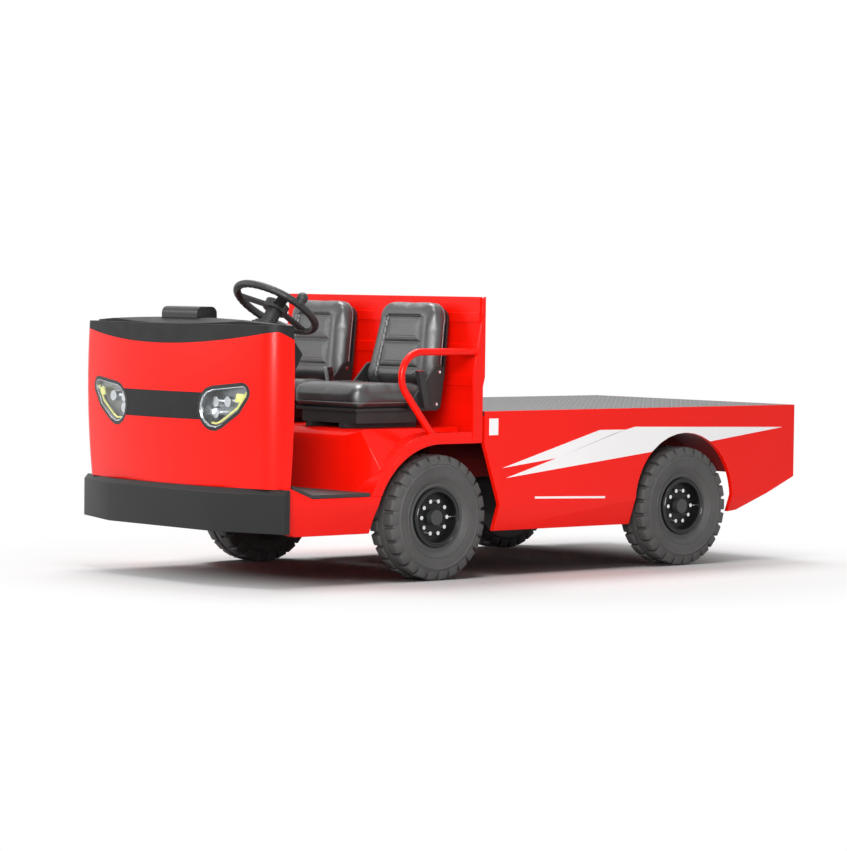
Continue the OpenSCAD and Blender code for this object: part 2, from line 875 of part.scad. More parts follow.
module lamp_band() {
  color(black) intersection() {
    cowl_wall(panel_gap, cowl_t, band_low_z, band_high_z);
    front_prism(cowl_corner_x, bumper_x) difference() {
      band_outline(panel_gap);
      eyes(-panel_gap);
    }
  }
}

// Lamp housings: an eye-shaped bezel with a flat back and three round projectors
module headlamps() {
  back_x = cowl_corner_x + lamp_back;
  color(black) difference() {
    intersection() {
      cowl_wall(0, cowl_corner_r - cowl_t, cowl_low_z, cowl_top_z);
      front_prism(back_x, bumper_x) eyes(panel_gap);
    }
    front_prism(back_x + lamp_back_t, bumper_x) difference() {
      eyes(bezel_w);
      for (side = [-1, 1], place = projectors)
        translate([side * place[0], place[1]]) circle(projector_r);
    }
    front_prism(back_x + lamp_back_t + projector_l, bumper_x) eyes(bezel_w);
  }
}

module headlamp_lenses() {
  color("#d8dde0") intersection() {
    cowl_wall(0, lens_t, cowl_low_z, cowl_top_z);
    front_prism(cowl_corner_x - cowl_corner_r, bumper_x) eyes(bezel_w + panel_gap);
  }
}

// Side-view shape of one ring of the front wheel's arch, run out level behind the wheel
module arch_shape(ring) {
  x = front_axle_x - ring[0];
  cross_rod(x, ring[1], ring[2], -cab_w, cab_w);
  block([wing_rear_x - riser_round, -cab_w, 0], [x, cab_w, ring[1] + ring[2]]);
  block([x - ring[2], -cab_w, 0], [x + ring[2], cab_w, ring[1]]);
}

// Sills: folded below the crease, stepped up to the cowl in front, cut by the arch behind
module side_sills() {
  color(paint) both_sides() difference() {
    intersection() {
      front_prism(front_axle_x, sill_front_x) polygon([
        [half_w - sill_w, sill_low_z],
        [half_w - sill_tuck, sill_low_z],
        [half_w, crease_z],
        [half_w, cowl_low_z],
        [half_w - cowl_t, cowl_low_z],
        [half_w - sill_w, sill_top_z]
      ]);
      side_prism([
        [front_axle_x, sill_low_z],
        [sill_chin_x, sill_low_z],
        [sill_front_x, sill_chin_z],
        [sill_front_x, cowl_low_z],
        [cowl_rear_x, cowl_low_z],
        [sill_slope_x, sill_top_z],
        [front_axle_x, sill_top_z]
      ], 0, cab_w);
    }
    arch_shape(arch_ring);
  }
}

// Floor panel on the rails, sloping up in front to the toe board
module cab_floor() {
  half = half_w - sill_w - panel_gap;
  toe_z = floor_z + (toe_x - floor_t - sill_slope_x) * slope_rise;
  color(dark_paint) side_prism([
    [riser_x, floor_z],
    [sill_slope_x, floor_z],
    [toe_x - floor_t, toe_z],
    [toe_x, toe_z + toe_rise],
    [toe_x + floor_t, toe_z + toe_rise],
    [toe_x, toe_z - floor_t],
    [sill_slope_x, floor_z - floor_t],
    [riser_x, floor_z - floor_t]
  ], -half, half);
}

// Step mat over the floor and the sills
module floor_mat() {
  half = half_w - mat_inset;
  front_z = floor_z + (mat_front_x - sill_slope_x) * slope_rise;
  color(black) side_prism([
    [riser_x, floor_z + pan_gap],
    [sill_slope_x, floor_z + pan_gap],
    [mat_front_x, front_z + pan_gap],
    [mat_front_x, front_z + mat_t],
    [sill_slope_x, floor_z + mat_t],
    [riser_x, floor_z + mat_t]
  ], -half, half);
}

// Brake and drive pedals on arms from the toe board
module pedals() {
  toe_z = floor_z + (toe_x - floor_t - sill_slope_x) * slope_rise;
  color(black) difference() {
    for (y = pedal_places)
      translate([pedal_x, y, floor_z + mat_t + pedal_lift]) rotate([0, pedal_lean - 90, 0]) {
        block([0, -pedal_w / 2, 0], [pedal_h, pedal_w / 2, pedal_t]);
        block([pedal_h / 2, -pedal_t / 2, -pedal_h], [pedal_h / 2 + pedal_t, pedal_t / 2, over]);
      }
    side_prism([
      [toe_x - floor_t, toe_z],
      [toe_x, toe_z + toe_rise],
      [bumper_x, toe_z + toe_rise],
      [bumper_x, toe_z]
    ], 0, half_w);
  }
}

// Seat box, filled: front corners swept back, a round top front edge and sides that lean in
module box_solid(shrink) {
  intersection() {
    translate([0, half_w, 0]) rotate([90, 0, 0]) linear_extrude(cab_w) {
      translate([wing_front_x, floor_z])
        square([riser_x - shrink - wing_front_x, seat_deck_z - floor_z - riser_round]);
      translate([wing_front_x, floor_z])
        square([riser_x - riser_round - wing_front_x, seat_deck_z - shrink - floor_z]);
      translate([riser_x - riser_round, seat_deck_z - riser_round]) circle(riser_round - shrink);
    }
    translate([0, 0, floor_z]) linear_extrude(seat_deck_z - floor_z) {
      translate([wing_front_x, -box_flat]) square([riser_x - shrink - wing_front_x, 2 * box_flat]);
      for (side = [-1, 1])
        translate([riser_x - box_r, side * box_flat]) circle(box_r - shrink, $fn = fine_fn);
    }
    front_prism(wing_front_x, riser_x) polygon([
      [shrink - box_half, floor_z],
      [box_half - shrink, floor_z],
      [box_half - shrink, box_lean_z],
      [box_top_half - shrink, seat_deck_z],
      [shrink - box_top_half, seat_deck_z],
      [shrink - box_half, box_lean_z]
    ]);
  }
}

module seat_box() {
  color(paint) difference() {
    box_solid(0);
    translate([-over, 0, -over]) box_solid(riser_t);
    arch_shape(arch_ring);
  }
}

// Fender: a flared band and a lip round the wheel's arch
module fender() {
  difference() {
    union() {
      intersection() {
        arch_shape(flare_ring);
        block([wing_front_x, half_w - flare_in, floor_z], [riser_x, half_w - flare_set, seat_deck_z]);
      }
      intersection() {
        arch_shape(lip_ring);
        block([wing_front_x, half_w - flare_in, floor_z], [riser_x, half_w, seat_deck_z]);
      }
    }
    arch_shape(arch_ring);
    box_solid(-panel_gap);
  }
}

module fenders() {
  color(paint) both_sides() fender();
}

// Bulkhead: ribbed sheet between two folded wings
module bulkhead() {
  sheet_x = bulkhead_rear_x;
  color(paint) {
    both_sides() side_prism([
      [wing_front_x, wing_low_z],
      [wing_front_x, wing_shoulder_z],
      [wing_neck_x, wing_neck_z],
      [wing_neck_x, bulkhead_top_z - sheet_t],
      [wing_neck_x - sheet_t, bulkhead_top_z],
      [bulkhead_rear_x, bulkhead_top_z],
      [bulkhead_rear_x, wing_shoulder_z],
      [wing_rear_x, wing_shoulder_z - rib_h],
      [wing_rear_x, wing_low_z]
    ], platform_half - wing_t, platform_half);
    block([wing_rear_x, -platform_half + wing_t - over, wing_low_z],
          [wing_rear_x + sheet_t, platform_half - wing_t + over, bulkhead_top_z]);
    for (i = [0 : rib_count - 1])
      block([wing_rear_x + sheet_t - over, -platform_half + wing_t - over,
             bulkhead_top_z - rib_drop - i * rib_pitch - rib_h / 2],
            [wing_rear_x + rib_d, platform_half - wing_t + over,
             bulkhead_top_z - rib_drop - i * rib_pitch + rib_h / 2]);
  }
}

// Hip rail: one tube from the wing forward, round a bend and down to the fender.
// A ring of the tube stands on the path at [x, z]; turn is the bend angle there.
function hip_point(turn) = [
  hip_bend_x + hip_bend_r * sin(turn),
  hip_z - hip_bend_r + hip_bend_r * cos(turn)
];
function hip_ring(centre, turn) = [
  for (i = [0 : rail_sides - 1])
    let (a = i * 360 / rail_sides, r = rail_d / 2)
    [centre[0] + r * cos(a) * sin(turn), hip_y + r * sin(a), centre[1] + r * cos(a) * cos(turn)]
];
// Slides a ring along the leg until it lies below the fender's top, which cuts it off
function on_pad(ring) = [
  for (p = ring)
    [p[0] - (p[2] - foot_z) * tan(hip_turn - 90), p[1], foot_z]
];
// Front edge of the wing at height z, and a ring slid back on to it
function wing_edge(z) =
  wing_front_x - (wing_front_x - wing_neck_x) * (z - wing_shoulder_z) / (wing_neck_z - wing_shoulder_z);
function on_wing(ring) = [for (p = ring) [wing_edge(p[2]), p[1], p[2]]];

module hip_rail() {
  bend = [for (i = [0 : bend_steps]) hip_ring(hip_point(hip_turn * i / bend_steps), hip_turn * i / bend_steps)];
  rings = concat([on_wing(bend[0])], bend, [on_pad(bend[bend_steps])]);
  last = len(rings) - 1;
  polyhedron(
    [for (ring = rings, p = ring) p],
    concat(
      [[for (i = [0 : rail_sides - 1]) i]],
      [for (k = [0 : last - 1], i = [0 : rail_sides - 1])
        let (j = (i + 1) % rail_sides)
        [k * rail_sides + j, k * rail_sides + i, (k + 1) * rail_sides + i, (k + 1) * rail_sides + j]],
      [[for (i = [rail_sides - 1 : -1 : 0]) last * rail_sides + i]]
    )
  );
}

module hip_rails() {
  color(paint) difference() {
    both_sides() hip_rail();
    arch_shape(flare_ring);
  }
}

// Each seat is drawn at the middle of the cab and moved to its side
module at_seat(side) {
  translate([0, side * seat_spacing / 2, 0]) children();
}

// Seat base: two runners, the spring box on them and the pan under the cushion
module seat_bases() {
  rear_x = seat_front_x - cushion_l;
  color(black) for (side = [-1, 1]) at_seat(side) {
    for (edge = [-1, 1])
      block([rear_x, edge * seat_w / 4 - slide_w / 2, seat_deck_z],
            [seat_front_x - slide_w / 2, edge * seat_w / 4 + slide_w / 2, seat_deck_z + runner_h]);
    block([rear_x + slide_w, -base_w / 2, seat_deck_z + runner_h],
          [seat_front_x - slide_w, base_w / 2, seat_deck_z + slide_h]);
    block([rear_x, -seat_w / 2 + slide_w / 2, seat_deck_z + slide_h],
          [seat_front_x - slide_w / 2, seat_w / 2 - slide_w / 2, seat_deck_z + slide_h + seat_pan_t]);
  }
}

module cushion() {
  color(black) intersection() {
    translate([seat_front_x - cushion_l, seat_w / 2 + over, cushion_low_z]) rotate([90, 0, 0])
      linear_extrude(seat_w + 2 * over) round_rect([cushion_l, cushion_t], cushion_round);
    translate([seat_front_x - cushion_l - over, -seat_w / 2, cushion_low_z - over])
      linear_extrude(cushion_t + 2 * over) round_rect([cushion_l + 2 * over, seat_w], cushion_corner);
  }
}

module seat_cushion_left() { at_seat(1) cushion(); }
module seat_cushion_right() { at_seat(-1) cushion(); }

// Back rest, leaning about its lower front edge
module at_back() {
  translate([back_front_x, 0, back_low_z]) rotate([0, -back_lean, 0]) children();
}

// Outline of the back rest from its lower edge, narrower at the top
function back_corners() =
  let (low_y = seat_w / 2 - back_round, top_y = seat_w / 2 - back_taper - back_top_round)
  [
    [-low_y, back_round, back_round],
    [low_y, back_round, back_round],
    [top_y, back_h - back_top_round, back_top_round],
    [-top_y, back_h - back_top_round, back_top_round]
  ];

module back_pad() {
  color(black) at_back() translate([-back_t, 0, 0]) rotate([90, 0, 90])
    linear_extrude(back_t) polygon(round_points(back_corners(), 0));
}

module seat_back_left() { at_seat(1) back_pad(); }
module seat_back_right() { at_seat(-1) back_pad(); }

module seat_back_shells() {
  color(charcoal) for (side = [-1, 1]) at_seat(side) at_back()
    translate([-back_t - pan_gap - shell_t, 0, 0]) rotate([90, 0, 90])
      linear_extrude(shell_t) polygon(round_points(back_corners(), cushion_round / 2));
}

// Recliner brackets join the pan to the back at both sides of each seat
module at_pan() {
  translate([seat_front_x - cushion_l, 0, seat_deck_z + slide_h]) children();
}

module recliner_brackets() {
  color(black) for (side = [-1, 1]) at_seat(side) at_pan() for (edge = [0, 1]) mirror([0, edge, 0])
    side_prism(round_points(bracket_corners, 0), seat_w / 2 + pan_gap, seat_w / 2 + pan_gap + bracket_t);
}

// Belt buckles lean forward outside each seat's left bracket
module belt_buckles() {
  y = seat_w / 2 + bracket_t + 2 * pan_gap;
  color(black) for (side = [-1, 1]) at_seat(side) at_pan()
    side_prism([
      [buckle_x - buckle_lean, buckle_rise],
      [buckle_x - buckle_lean + buckle_l, buckle_rise],
      [buckle_x + buckle_l, buckle_h],
      [buckle_x, buckle_h]
    ], y, y + buckle_w);
}

// The column's frame: its origin is the wheel's middle and +Z its axis, towards the driver
module at_column() {
  translate([wheel_hub_x, wheel_hub_y, wheel_hub_z]) rotate([0, -column_lean, 0]) children();
}

module steering_column() {
  color(black) difference() {
    at_column() {
      translate([0, 0, -hub_boss_h / 2 - running_gap - column_l]) cylinder(r = column_r, h = column_l);
      translate([0, 0, -hub_boss_h / 2 - running_gap - column_l]) cylinder(r = shroud_r, h = shroud_l);
      translate([0, 0, -hub_boss_h]) cylinder(r = shaft_r, h = shaft_l);
      translate([0, 0, -hub_boss_h - column_r]) rotate([90, 0, 0]) cylinder(r = stalk_r, h = stalk_l);
    }
    dash_body();
  }
}

// Steering wheel with its spokes and spinner knob
module steering_wheel() {
  ring_r = steering_wheel_d / 2 - wheel_rim_r;
  color(black) at_column() difference() {
    union() {
      rotate_extrude($fn = fine_fn) translate([ring_r, 0]) circle(wheel_rim_r);
      translate([0, 0, -hub_boss_h / 2]) cylinder(r = hub_boss_r, h = hub_boss_h);
      for (i = [0 : spoke_count - 1])
        rotate([0, 0, 180 + i * 360 / spoke_count])
          block([0, -spoke_w / 2, -spoke_t / 2], [ring_r, spoke_w / 2, spoke_t / 2]);
      rotate([0, 0, knob_turn]) translate([ring_r, 0, 0]) cylinder(r = knob_r, h = knob_h);
    }
    translate([0, 0, -hub_boss_h / 2 - over]) cylinder(r = shaft_r + running_gap, h = shaft_l + over);
  }
}

// Load deck: one plate let into the rim of the side and tail panels
module platform_deck() {
  color("#85888b") block([rear_end_x + rim_t, rim_t - platform_half, deck_z - deck_t],
                         [platform_front_x, platform_half - rim_t, deck_z]);
}

// Side panel: folded in below its crease, with the wheel's arch and the cut-up tail
module platform_side() {
  outer = platform_half;
  inner = platform_half - side_t;
  color(paint) difference() {
    intersection() {
      side_prism([
        [platform_front_x, deck_z],
        [platform_front_x, platform_nose_z],
        [platform_chin_x, platform_crease_z],
        [platform_chin_x, platform_low_z],
        [rear_axle_x, platform_low_z],
        [tail_corner_x, tail_low_z],
        [rear_end_x, tail_corner_z],
        [rear_end_x, deck_z]
      ], 0, platform_w);
      front_prism(rear_end_x - over, platform_front_x + over) polygon([
        [inner - platform_tuck, platform_low_z],
        [outer - platform_tuck, platform_low_z],
        [outer, platform_crease_z],
        [outer, deck_z],
        [inner, deck_z],
        [inner, platform_crease_z]
      ]);
    }
    cross_rod(rear_axle_x, axle_z + rear_arch_lift, rear_arch_r, 0, platform_w);
    block([rear_axle_x - rear_arch_r, 0, 0], [rear_axle_x + rear_arch_r, platform_w, axle_z + rear_arch_lift]);
    block([rear_end_x + rim_t, 0, deck_z - deck_t], [bumper_x, platform_half - rim_t, deck_z + over]);
  }
}

module platform_side_left() { platform_side(); }
module platform_side_right() { mirror([0, 1, 0]) platform_side(); }

// Tail panel between the sides
module platform_tail() {
  half = platform_half - side_t;
  color(paint) difference() {
    block([rear_end_x, -half, tail_corner_z], [rear_end_x + side_t, half, deck_z]);
    block([rear_end_x + rim_t, -half - over, deck_z - deck_t], [bumper_x, half + over, deck_z + over]);
    both_sides() front_prism(rear_end_x - over, rear_end_x + side_t + over) tail_lamp_outline(panel_gap);
  }
}

// Bearers on the rails and crossbearers under the deck
module platform_frame() {
  bearer_x0 = rear_end_x + side_t;
  pitch = (platform_front_x - bearer_x0 - cross_w) / (cross_count - 1);
  color(dark_paint) {
    both_sides()
      block([bearer_x0, rail_out_y - bearer_w, rail_top_z],
            [platform_front_x, rail_out_y, deck_z - deck_t]);
    for (i = [0 : cross_count - 1])
      block([bearer_x0 + i * pitch, -platform_half + side_t, deck_z - deck_t - cross_w],
            [bearer_x0 + i * pitch + cross_w, platform_half - side_t, deck_z - deck_t]);
  }
}

// Liners over the rear wheels
module rear_arch_liners() {
  z = axle_z + rear_arch_lift;
  half = rear_arch_r + liner_t;
  color(dark_paint) both_sides() difference() {
    cross_rod(rear_axle_x, z, half, platform_half - side_t - liner_w, platform_half - side_t);
    cross_rod(rear_axle_x, z, rear_arch_r, 0, platform_w);
    block([rear_axle_x - half - over, 0, z - half - over], [rear_axle_x + half + over, platform_w, liner_low_z]);
  }
}

// Lamps let into the tail panel's outer ends
module tail_lamp_outline(gap) {
  translate([platform_half - side_t - tail_lamp_inset - tail_lamp_w - gap, tail_lamp_low_z - gap])
    square([tail_lamp_w + 2 * gap, tail_lamp_h + 2 * gap]);
}

module tail_lamps() {
  color("#b3201a") both_sides() front_prism(rear_end_x, rear_end_x + side_t) tail_lamp_outline(0);
}

// Tow jaw: two plates and a back hung from the last crossmember, bored for a pin
module tow_jaw() {
  color(charcoal) difference() {
    union() {
      block([rear_end_x, -jaw_w / 2, jaw_z - jaw_h / 2], [rear_end_x + jaw_l, jaw_w / 2, jaw_z + jaw_h / 2]);
      block([rail_rear_x + cross_l / 2, -jaw_w / 2, jaw_z], [rear_end_x + jaw_l, jaw_w / 2, rail_high_z]);
    }
    block([rear_end_x - over, -jaw_w, jaw_z - jaw_slot / 2],
          [rear_end_x + jaw_slot_l, jaw_w, jaw_z + jaw_slot / 2]);
    translate([rear_end_x + jaw_pin_x, 0, jaw_z - jaw_h]) cylinder(r = jaw_pin_r, h = 2 * jaw_h);
  }
}

chassis_frame();
front_axle();
leaf_springs();
rear_axle();
drive_motor();
battery_box();
knuckle_left();
knuckle_right();
tie_rod();
tyre_front_left();
tyre_front_right();
tyre_rear_left();
tyre_rear_right();
rim_front_left();
rim_front_right();
rim_rear_left();
rim_rear_right();
bumper();
front_cowl();
dash();
instrument_pod();
lamp_band();
headlamps();
headlamp_lenses();
side_sills();
cab_floor();
floor_mat();
pedals();
seat_box();
fenders();
bulkhead();
hip_rails();
seat_bases();
seat_cushion_left();
seat_cushion_right();
seat_back_left();
seat_back_right();
seat_back_shells();
recliner_brackets();
belt_buckles();
steering_column();
steering_wheel();
platform_deck();
platform_side_left();
platform_side_right();
platform_tail();
platform_frame();
rear_arch_liners();
tail_lamps();
tow_jaw();
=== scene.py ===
"""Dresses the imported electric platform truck: paint, rubber, seats, lamps and the studio round it."""

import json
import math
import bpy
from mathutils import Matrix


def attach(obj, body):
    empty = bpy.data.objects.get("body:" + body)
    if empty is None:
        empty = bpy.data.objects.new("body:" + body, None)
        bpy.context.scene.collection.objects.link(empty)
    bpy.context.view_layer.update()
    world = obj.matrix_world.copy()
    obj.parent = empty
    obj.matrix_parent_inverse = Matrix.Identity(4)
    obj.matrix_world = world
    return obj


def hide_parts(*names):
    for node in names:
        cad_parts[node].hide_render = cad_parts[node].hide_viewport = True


bl_info = {
    "name": "Platform Truck Dressing",
    "version": (1, 0, 0),
    "blender": (4, 5, 0),
    "location": "View3D > Sidebar > Truck",
    "description": "Finishes of an electric platform truck, piece by piece",
    "category": "Object",
}

import bpy
from mathutils import Matrix, Vector

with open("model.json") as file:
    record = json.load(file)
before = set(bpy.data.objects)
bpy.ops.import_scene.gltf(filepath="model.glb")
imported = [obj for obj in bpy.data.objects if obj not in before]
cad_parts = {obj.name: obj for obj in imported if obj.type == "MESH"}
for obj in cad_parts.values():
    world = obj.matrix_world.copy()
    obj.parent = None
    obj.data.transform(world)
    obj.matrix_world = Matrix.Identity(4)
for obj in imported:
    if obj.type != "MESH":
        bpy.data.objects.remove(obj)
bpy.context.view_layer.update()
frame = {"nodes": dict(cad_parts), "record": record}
NODE_BODY = {n: b for b, nodes in frame["record"]["behaviour"]["bodies"].items() for n in nodes}

ORIGIN = (0.0, 0.0, 0.0)
# Points nearer to each other than this are merged
MERGE_GAP = 0.00002
# Rounding of the smallest fittings
FINE_EDGE = 0.0006
# A face belongs to a flat end, or to the knob's neck, if its normal passes this
END_FACING, NECK_FACING = 0.9, 0.75

# Wheels: places of the axles, then steps round tyre and lip, and a lug's rounding
FRONT_AXLE_X = 0.657
REAR_AXLE_X = -0.968
WHEEL_Y = 0.645
AXLE_Z = 0.295
TYRE_STEPS, LIP_STEPS, LUG_EDGE = 104, 96, 0.003
# Nuts: radius of their circle, how far out they start, half their width. Hub: its start and radius
STUD_R, NUT_OUT, NUT_R = 0.0785, 0.037, 0.014
HUB_OUT, HUB_R = 0.040, 0.040
# Valve: radius at its stem's inner end, length, place along the axle, then its stem's radius and its tip
VALVE_R, VALVE_L, VALVE_OUT = 0.098, 0.026, 0.046
VALVE_STEM_R, VALVE_STEP, VALVE_TIP = 0.0035, 0.001, 0.010

# Front of the cowl: its foremost point and the radii of its plan and its bow
COWL_X, COWL_PLAN_R, COWL_BOW_R, COWL_BOW_Z = 1.751, 3.0, 5.0, 0.930
# Corner circles of the left lamp: y, z, radius
LAMP_CORNERS = ((0.374, 0.812, 0.104), (0.500, 0.832, 0.054), (0.553, 0.888, 0.047))
CORNER_STEPS = 8
# Lamp housing: its black rim, the depth of its bright inside and the wall at its back
GASKET_T, LAMP_DEPTH, LAMP_BACK_T = 0.012, 0.085, 0.008
PROJECTOR_R, PROJECTOR_DEPTH = 0.026, 0.077
# Light guide: its edges in from the lamp's outline, its depth, how thick strip and end are, its rounding
GUIDE_OUTER, GUIDE_INNER, GUIDE_DEPTH = 0.030, 0.039, 0.020
GUIDE_T, GUIDE_END_T, GUIDE_EDGE = 0.008, 0.009, 0.002
# Square end of the light guide in y and z
GUIDE_END = ((0.500, 0.846), (0.536, 0.842), (0.554, 0.868), (0.546, 0.882), (0.512, 0.884))
# Bright ring: its edges in from the lamp's outline, depth, front, inner lip, wall, and how its face narrows
RING_OUTER, RING_INNER, RING_DEPTH = 0.017, 0.022, 0.010
RING_FRONT, RING_LIP, RING_WALL = 0.003, 0.012, 0.0015
RING_SHARES = (1.0, 0.970, 0.955)

# Seats: middle in y, the cushion's rear end and the back's lower front edge with its lean
SEAT_Y = 0.340
CUSHION_REAR_X = 0.595
BACK_X, BACK_Z, BACK_LEAN = 0.605, 0.902, math.radians(11.0)
# Recliner: the pan's rear edge, and the bolts from it in x and z
PAN_X, PAN_Z = 0.595, 0.7917
BRACKET_Y = 0.2593
BRACKET_BOLTS = ((-0.042, 0.182), (-0.024, 0.030), (0.112, 0.024))
# Bolt head: radius, height, rim round its face, rounding, and share of the height left at its face
BOLT_R, BOLT_T, BOLT_RIM, BOLT_EDGE = 0.008, 0.005, 0.003, 0.0012
BOLT_FACE_SHARE = 0.4
# Button on top of a belt buckle
BUTTON_T = 0.004
# Pads: rounding and its steps, share of the solid's size, grid. Cloth: pressure, frames, smoothing after it
PAD_EDGE, PAD_SEGMENTS, PAD_SHARE, PAD_GRID = 0.022, 4, 0.99, 0.006
PAD_PRESSURE, PAD_FRAMES, PAD_SMOOTHING = 4.0, 14, 24
# Piping: a point of the cushion's, also its panel's foot, the back's behind its front, its radius
CUSHION_PIPING = (CUSHION_REAR_X, SEAT_Y, 0.832)
BACK_SEAM = 0.062
PIPING_R = 0.0034
# Sewn panels: from and to along the pad, half width at either end, and the channels across it
CUSHION_PANEL = (0.020, 0.335, 0.165, 0.150, (0.110, 0.185, 0.260, 0.335))
BACK_PANEL = (-0.010, 0.335, 0.150, 0.118, (0.090, 0.213, 0.335))
# A point is sewn if its normal faces out by more than this
SEWN_FACING = 0.45
# Steps that sink a panel: distance in from its edge and depth
PANEL_STEPS = ((-0.004, 0.002), (0.004, 0.002), (0.012, 0.002))
# Steps of a channel: half width and share of its depth
CHANNEL_STEPS = ((0.030, 0.10), (0.020, 0.12), (0.012, 0.26), (0.007, 0.28), (0.004, 0.24))

# Steering wheel: hub, lean, grip and spinner knob
WHEEL_HUB, WHEEL_LEAN = (1.337, 0.340, 1.272), math.radians(33.0)
GRIP_RING_R, GRIP_R, GRIP_RIPPLES, GRIP_DIP = 0.200, 0.0182, 40, 0.0013
RIPPLE_SHARE = 0.4
KNOB_TURN, KNOB_R, KNOB_RISE = math.radians(82.0), 0.027, 0.036

# Stripe on the platform's side in x and z, and the rear arch that it passes over
SIDE_Y = 0.730
ARCH_Z, ARCH_R, ARCH_CLEAR = 0.320, 0.340, 0.002
# Where the stripe's lower edge meets the arch, then the markings' thickness
ARCH_REAR, ARCH_FRONT = (-1.146, 0.615), (-0.734, 0.572)
STRIPE_T, FOLD_SHADE_T, PLATE_T = 0.0006, 0.0009, 0.002
STRIPE_TOP = ((0.262, 0.518), (-0.376, 0.687), (-0.553, 0.685), (-0.614, 0.698), (-1.667, 0.677))
STRIPE_LOW = ((0.238, 0.470), (-0.092, 0.557))
# Outline in x and z of a grey sliver of painted shade along the fold across the stripe
STRIPE_FOLD_SHADE = ((-0.092, 0.557), (-0.376, 0.637), (-0.553, 0.685), (-0.470, 0.668))
PLATE_CORNERS = ((0.293, 0.676), (0.350, 0.676), (0.350, 0.755), (0.293, 0.755))
LINE_CORNERS = ((0.049, 0.366), (0.049, 0.376), (-0.417, 0.363), (-0.417, 0.353))

# Studio: floor, where it fades to white, level of the world, and each lamp's place, aim, size and power
FLOOR_SIZE, FADE_FROM, FADE_TO = 80.0, 1.0, 2.7
WORLD_LEVEL = 0.12
STUDIO_LAMPS = {
    "key": ((8.5, 8.0, 3.6), (0.0, 0.0, 0.6), 5.0, 1150.0),
    "fill": ((8.0, -5.0, 4.0), (0.5, 0.0, 0.8), 5.0, 220.0),
    "back": ((-2.2, -3.6, 9.0), (0.0, 0.0, 0.5), 5.0, 650.0),
    "top": ((2.6, 1.6, 9.0), (0.3, 0.0, 0.5), 4.0, 350.0),
}

# Camera fitted to the photograph: place, optical axis and focal length in pixels of its frame
FRAME_W, FRAME_H = 847, 851
CAMERA_AZIMUTH = 39.88
CAMERA_PITCH = 2.91
CAMERA_ROLL = 0.64
CAMERA_DISTANCE = 16.888
CAMERA_TARGET = (0.5776, 0.0, 0.5628)
CAMERA_FOCAL_PX = 3479.0
CAMERA_MIDDLE_PX = (353.1, 453.2)
CAMERA_SENSOR_MM, CAMERA_REACH = 36.0, 200.0


class TruckColours(bpy.types.PropertyGroup):
    """Colours of the truck's finishes."""

    red: bpy.props.FloatVectorProperty(
        name="Body red", description="Gloss paint of the body", subtype="COLOR",
        size=3, min=0.0, max=1.0, default=(0.92, 0.006, 0.001))
    dark_red: bpy.props.FloatVectorProperty(
        name="Frame red", description="Satin paint of the frame", subtype="COLOR",
        size=3, min=0.0, max=1.0, default=(0.16, 0.012, 0.012))
    charcoal: bpy.props.FloatVectorProperty(
        name="Charcoal", description="Bumper and running gear", subtype="COLOR",
        size=3, min=0.0, max=1.0, default=(0.016, 0.0165, 0.017))
    black: bpy.props.FloatVectorProperty(
        name="Black", description="Moulded plastic and seats", subtype="COLOR",
        size=3, min=0.0, max=1.0, default=(0.014, 0.014, 0.0145))
    rubber: bpy.props.FloatVectorProperty(
        name="Rubber", description="Tyres and mats", subtype="COLOR",
        size=3, min=0.0, max=1.0, default=(0.068, 0.067, 0.066))
    deck: bpy.props.FloatVectorProperty(
        name="Deck plate", description="Chequered load deck", subtype="COLOR",
        size=3, min=0.0, max=1.0, default=(0.125, 0.128, 0.128))
    white: bpy.props.FloatVectorProperty(
        name="Stripe white", description="Stripe along the platform", subtype="COLOR",
        size=3, min=0.0, max=1.0, default=(0.93, 0.93, 0.93))


class TruckSizes(bpy.types.PropertyGroup):
    """Sizes of the dressing."""

    edge: bpy.props.FloatProperty(
        name="Panel edge", description="Rounding of folded panel edges",
        subtype="DISTANCE", unit="LENGTH", min=0.0, default=0.004)
    lugs: bpy.props.IntProperty(
        name="Lugs", description="Lugs round each tyre shoulder", min=8, default=26)
    lug_length: bpy.props.FloatProperty(
        name="Lug length", description="Length of a lug round the tyre",
        subtype="DISTANCE", unit="LENGTH", min=0.0, default=0.052)
    pad_cap: bpy.props.FloatProperty(
        name="Pad swell", description="Farthest that a point of a seat pad may swell",
        subtype="DISTANCE", unit="LENGTH", min=0.0, default=0.014)
    channel: bpy.props.FloatProperty(
        name="Channel depth", description="Depth of the sewn channels",
        subtype="DISTANCE", unit="LENGTH", min=0.0, default=0.009)


FINISHES = {}


def put(node, values):
    """Sets a node's inputs."""
    for name, value in values.items():
        node.inputs[name].default_value = value


def shader(name, colour, rough, metal=0.0, coat=0.0, sheen=0.5):
    """Makes a material and gives its tree and its Principled node, constants set on the sockets."""
    mat = bpy.data.materials.new(name)
    mat.use_nodes = True
    bsdf = mat.node_tree.nodes["Principled BSDF"]
    put(bsdf, {"Base Color": (*colour, 1.0), "Roughness": rough, "Metallic": metal,
               "Specular IOR Level": sheen, "Coat Weight": coat, "Coat Roughness": 0.06})
    mat.diffuse_color = (*colour, 1.0)
    FINISHES[name] = mat
    return mat.node_tree, bsdf


def own_coords(tree):
    """The piece's own coordinates."""
    return tree.nodes.new("ShaderNodeTexCoord").outputs["Object"]


def object_noise(tree, scale, detail=3.0):
    """Noise over the piece's own coordinates."""
    noise = tree.nodes.new("ShaderNodeTexNoise")
    put(noise, {"Scale": scale, "Detail": detail})
    tree.links.new(own_coords(tree), noise.inputs["Vector"])
    return noise.outputs["Fac"]


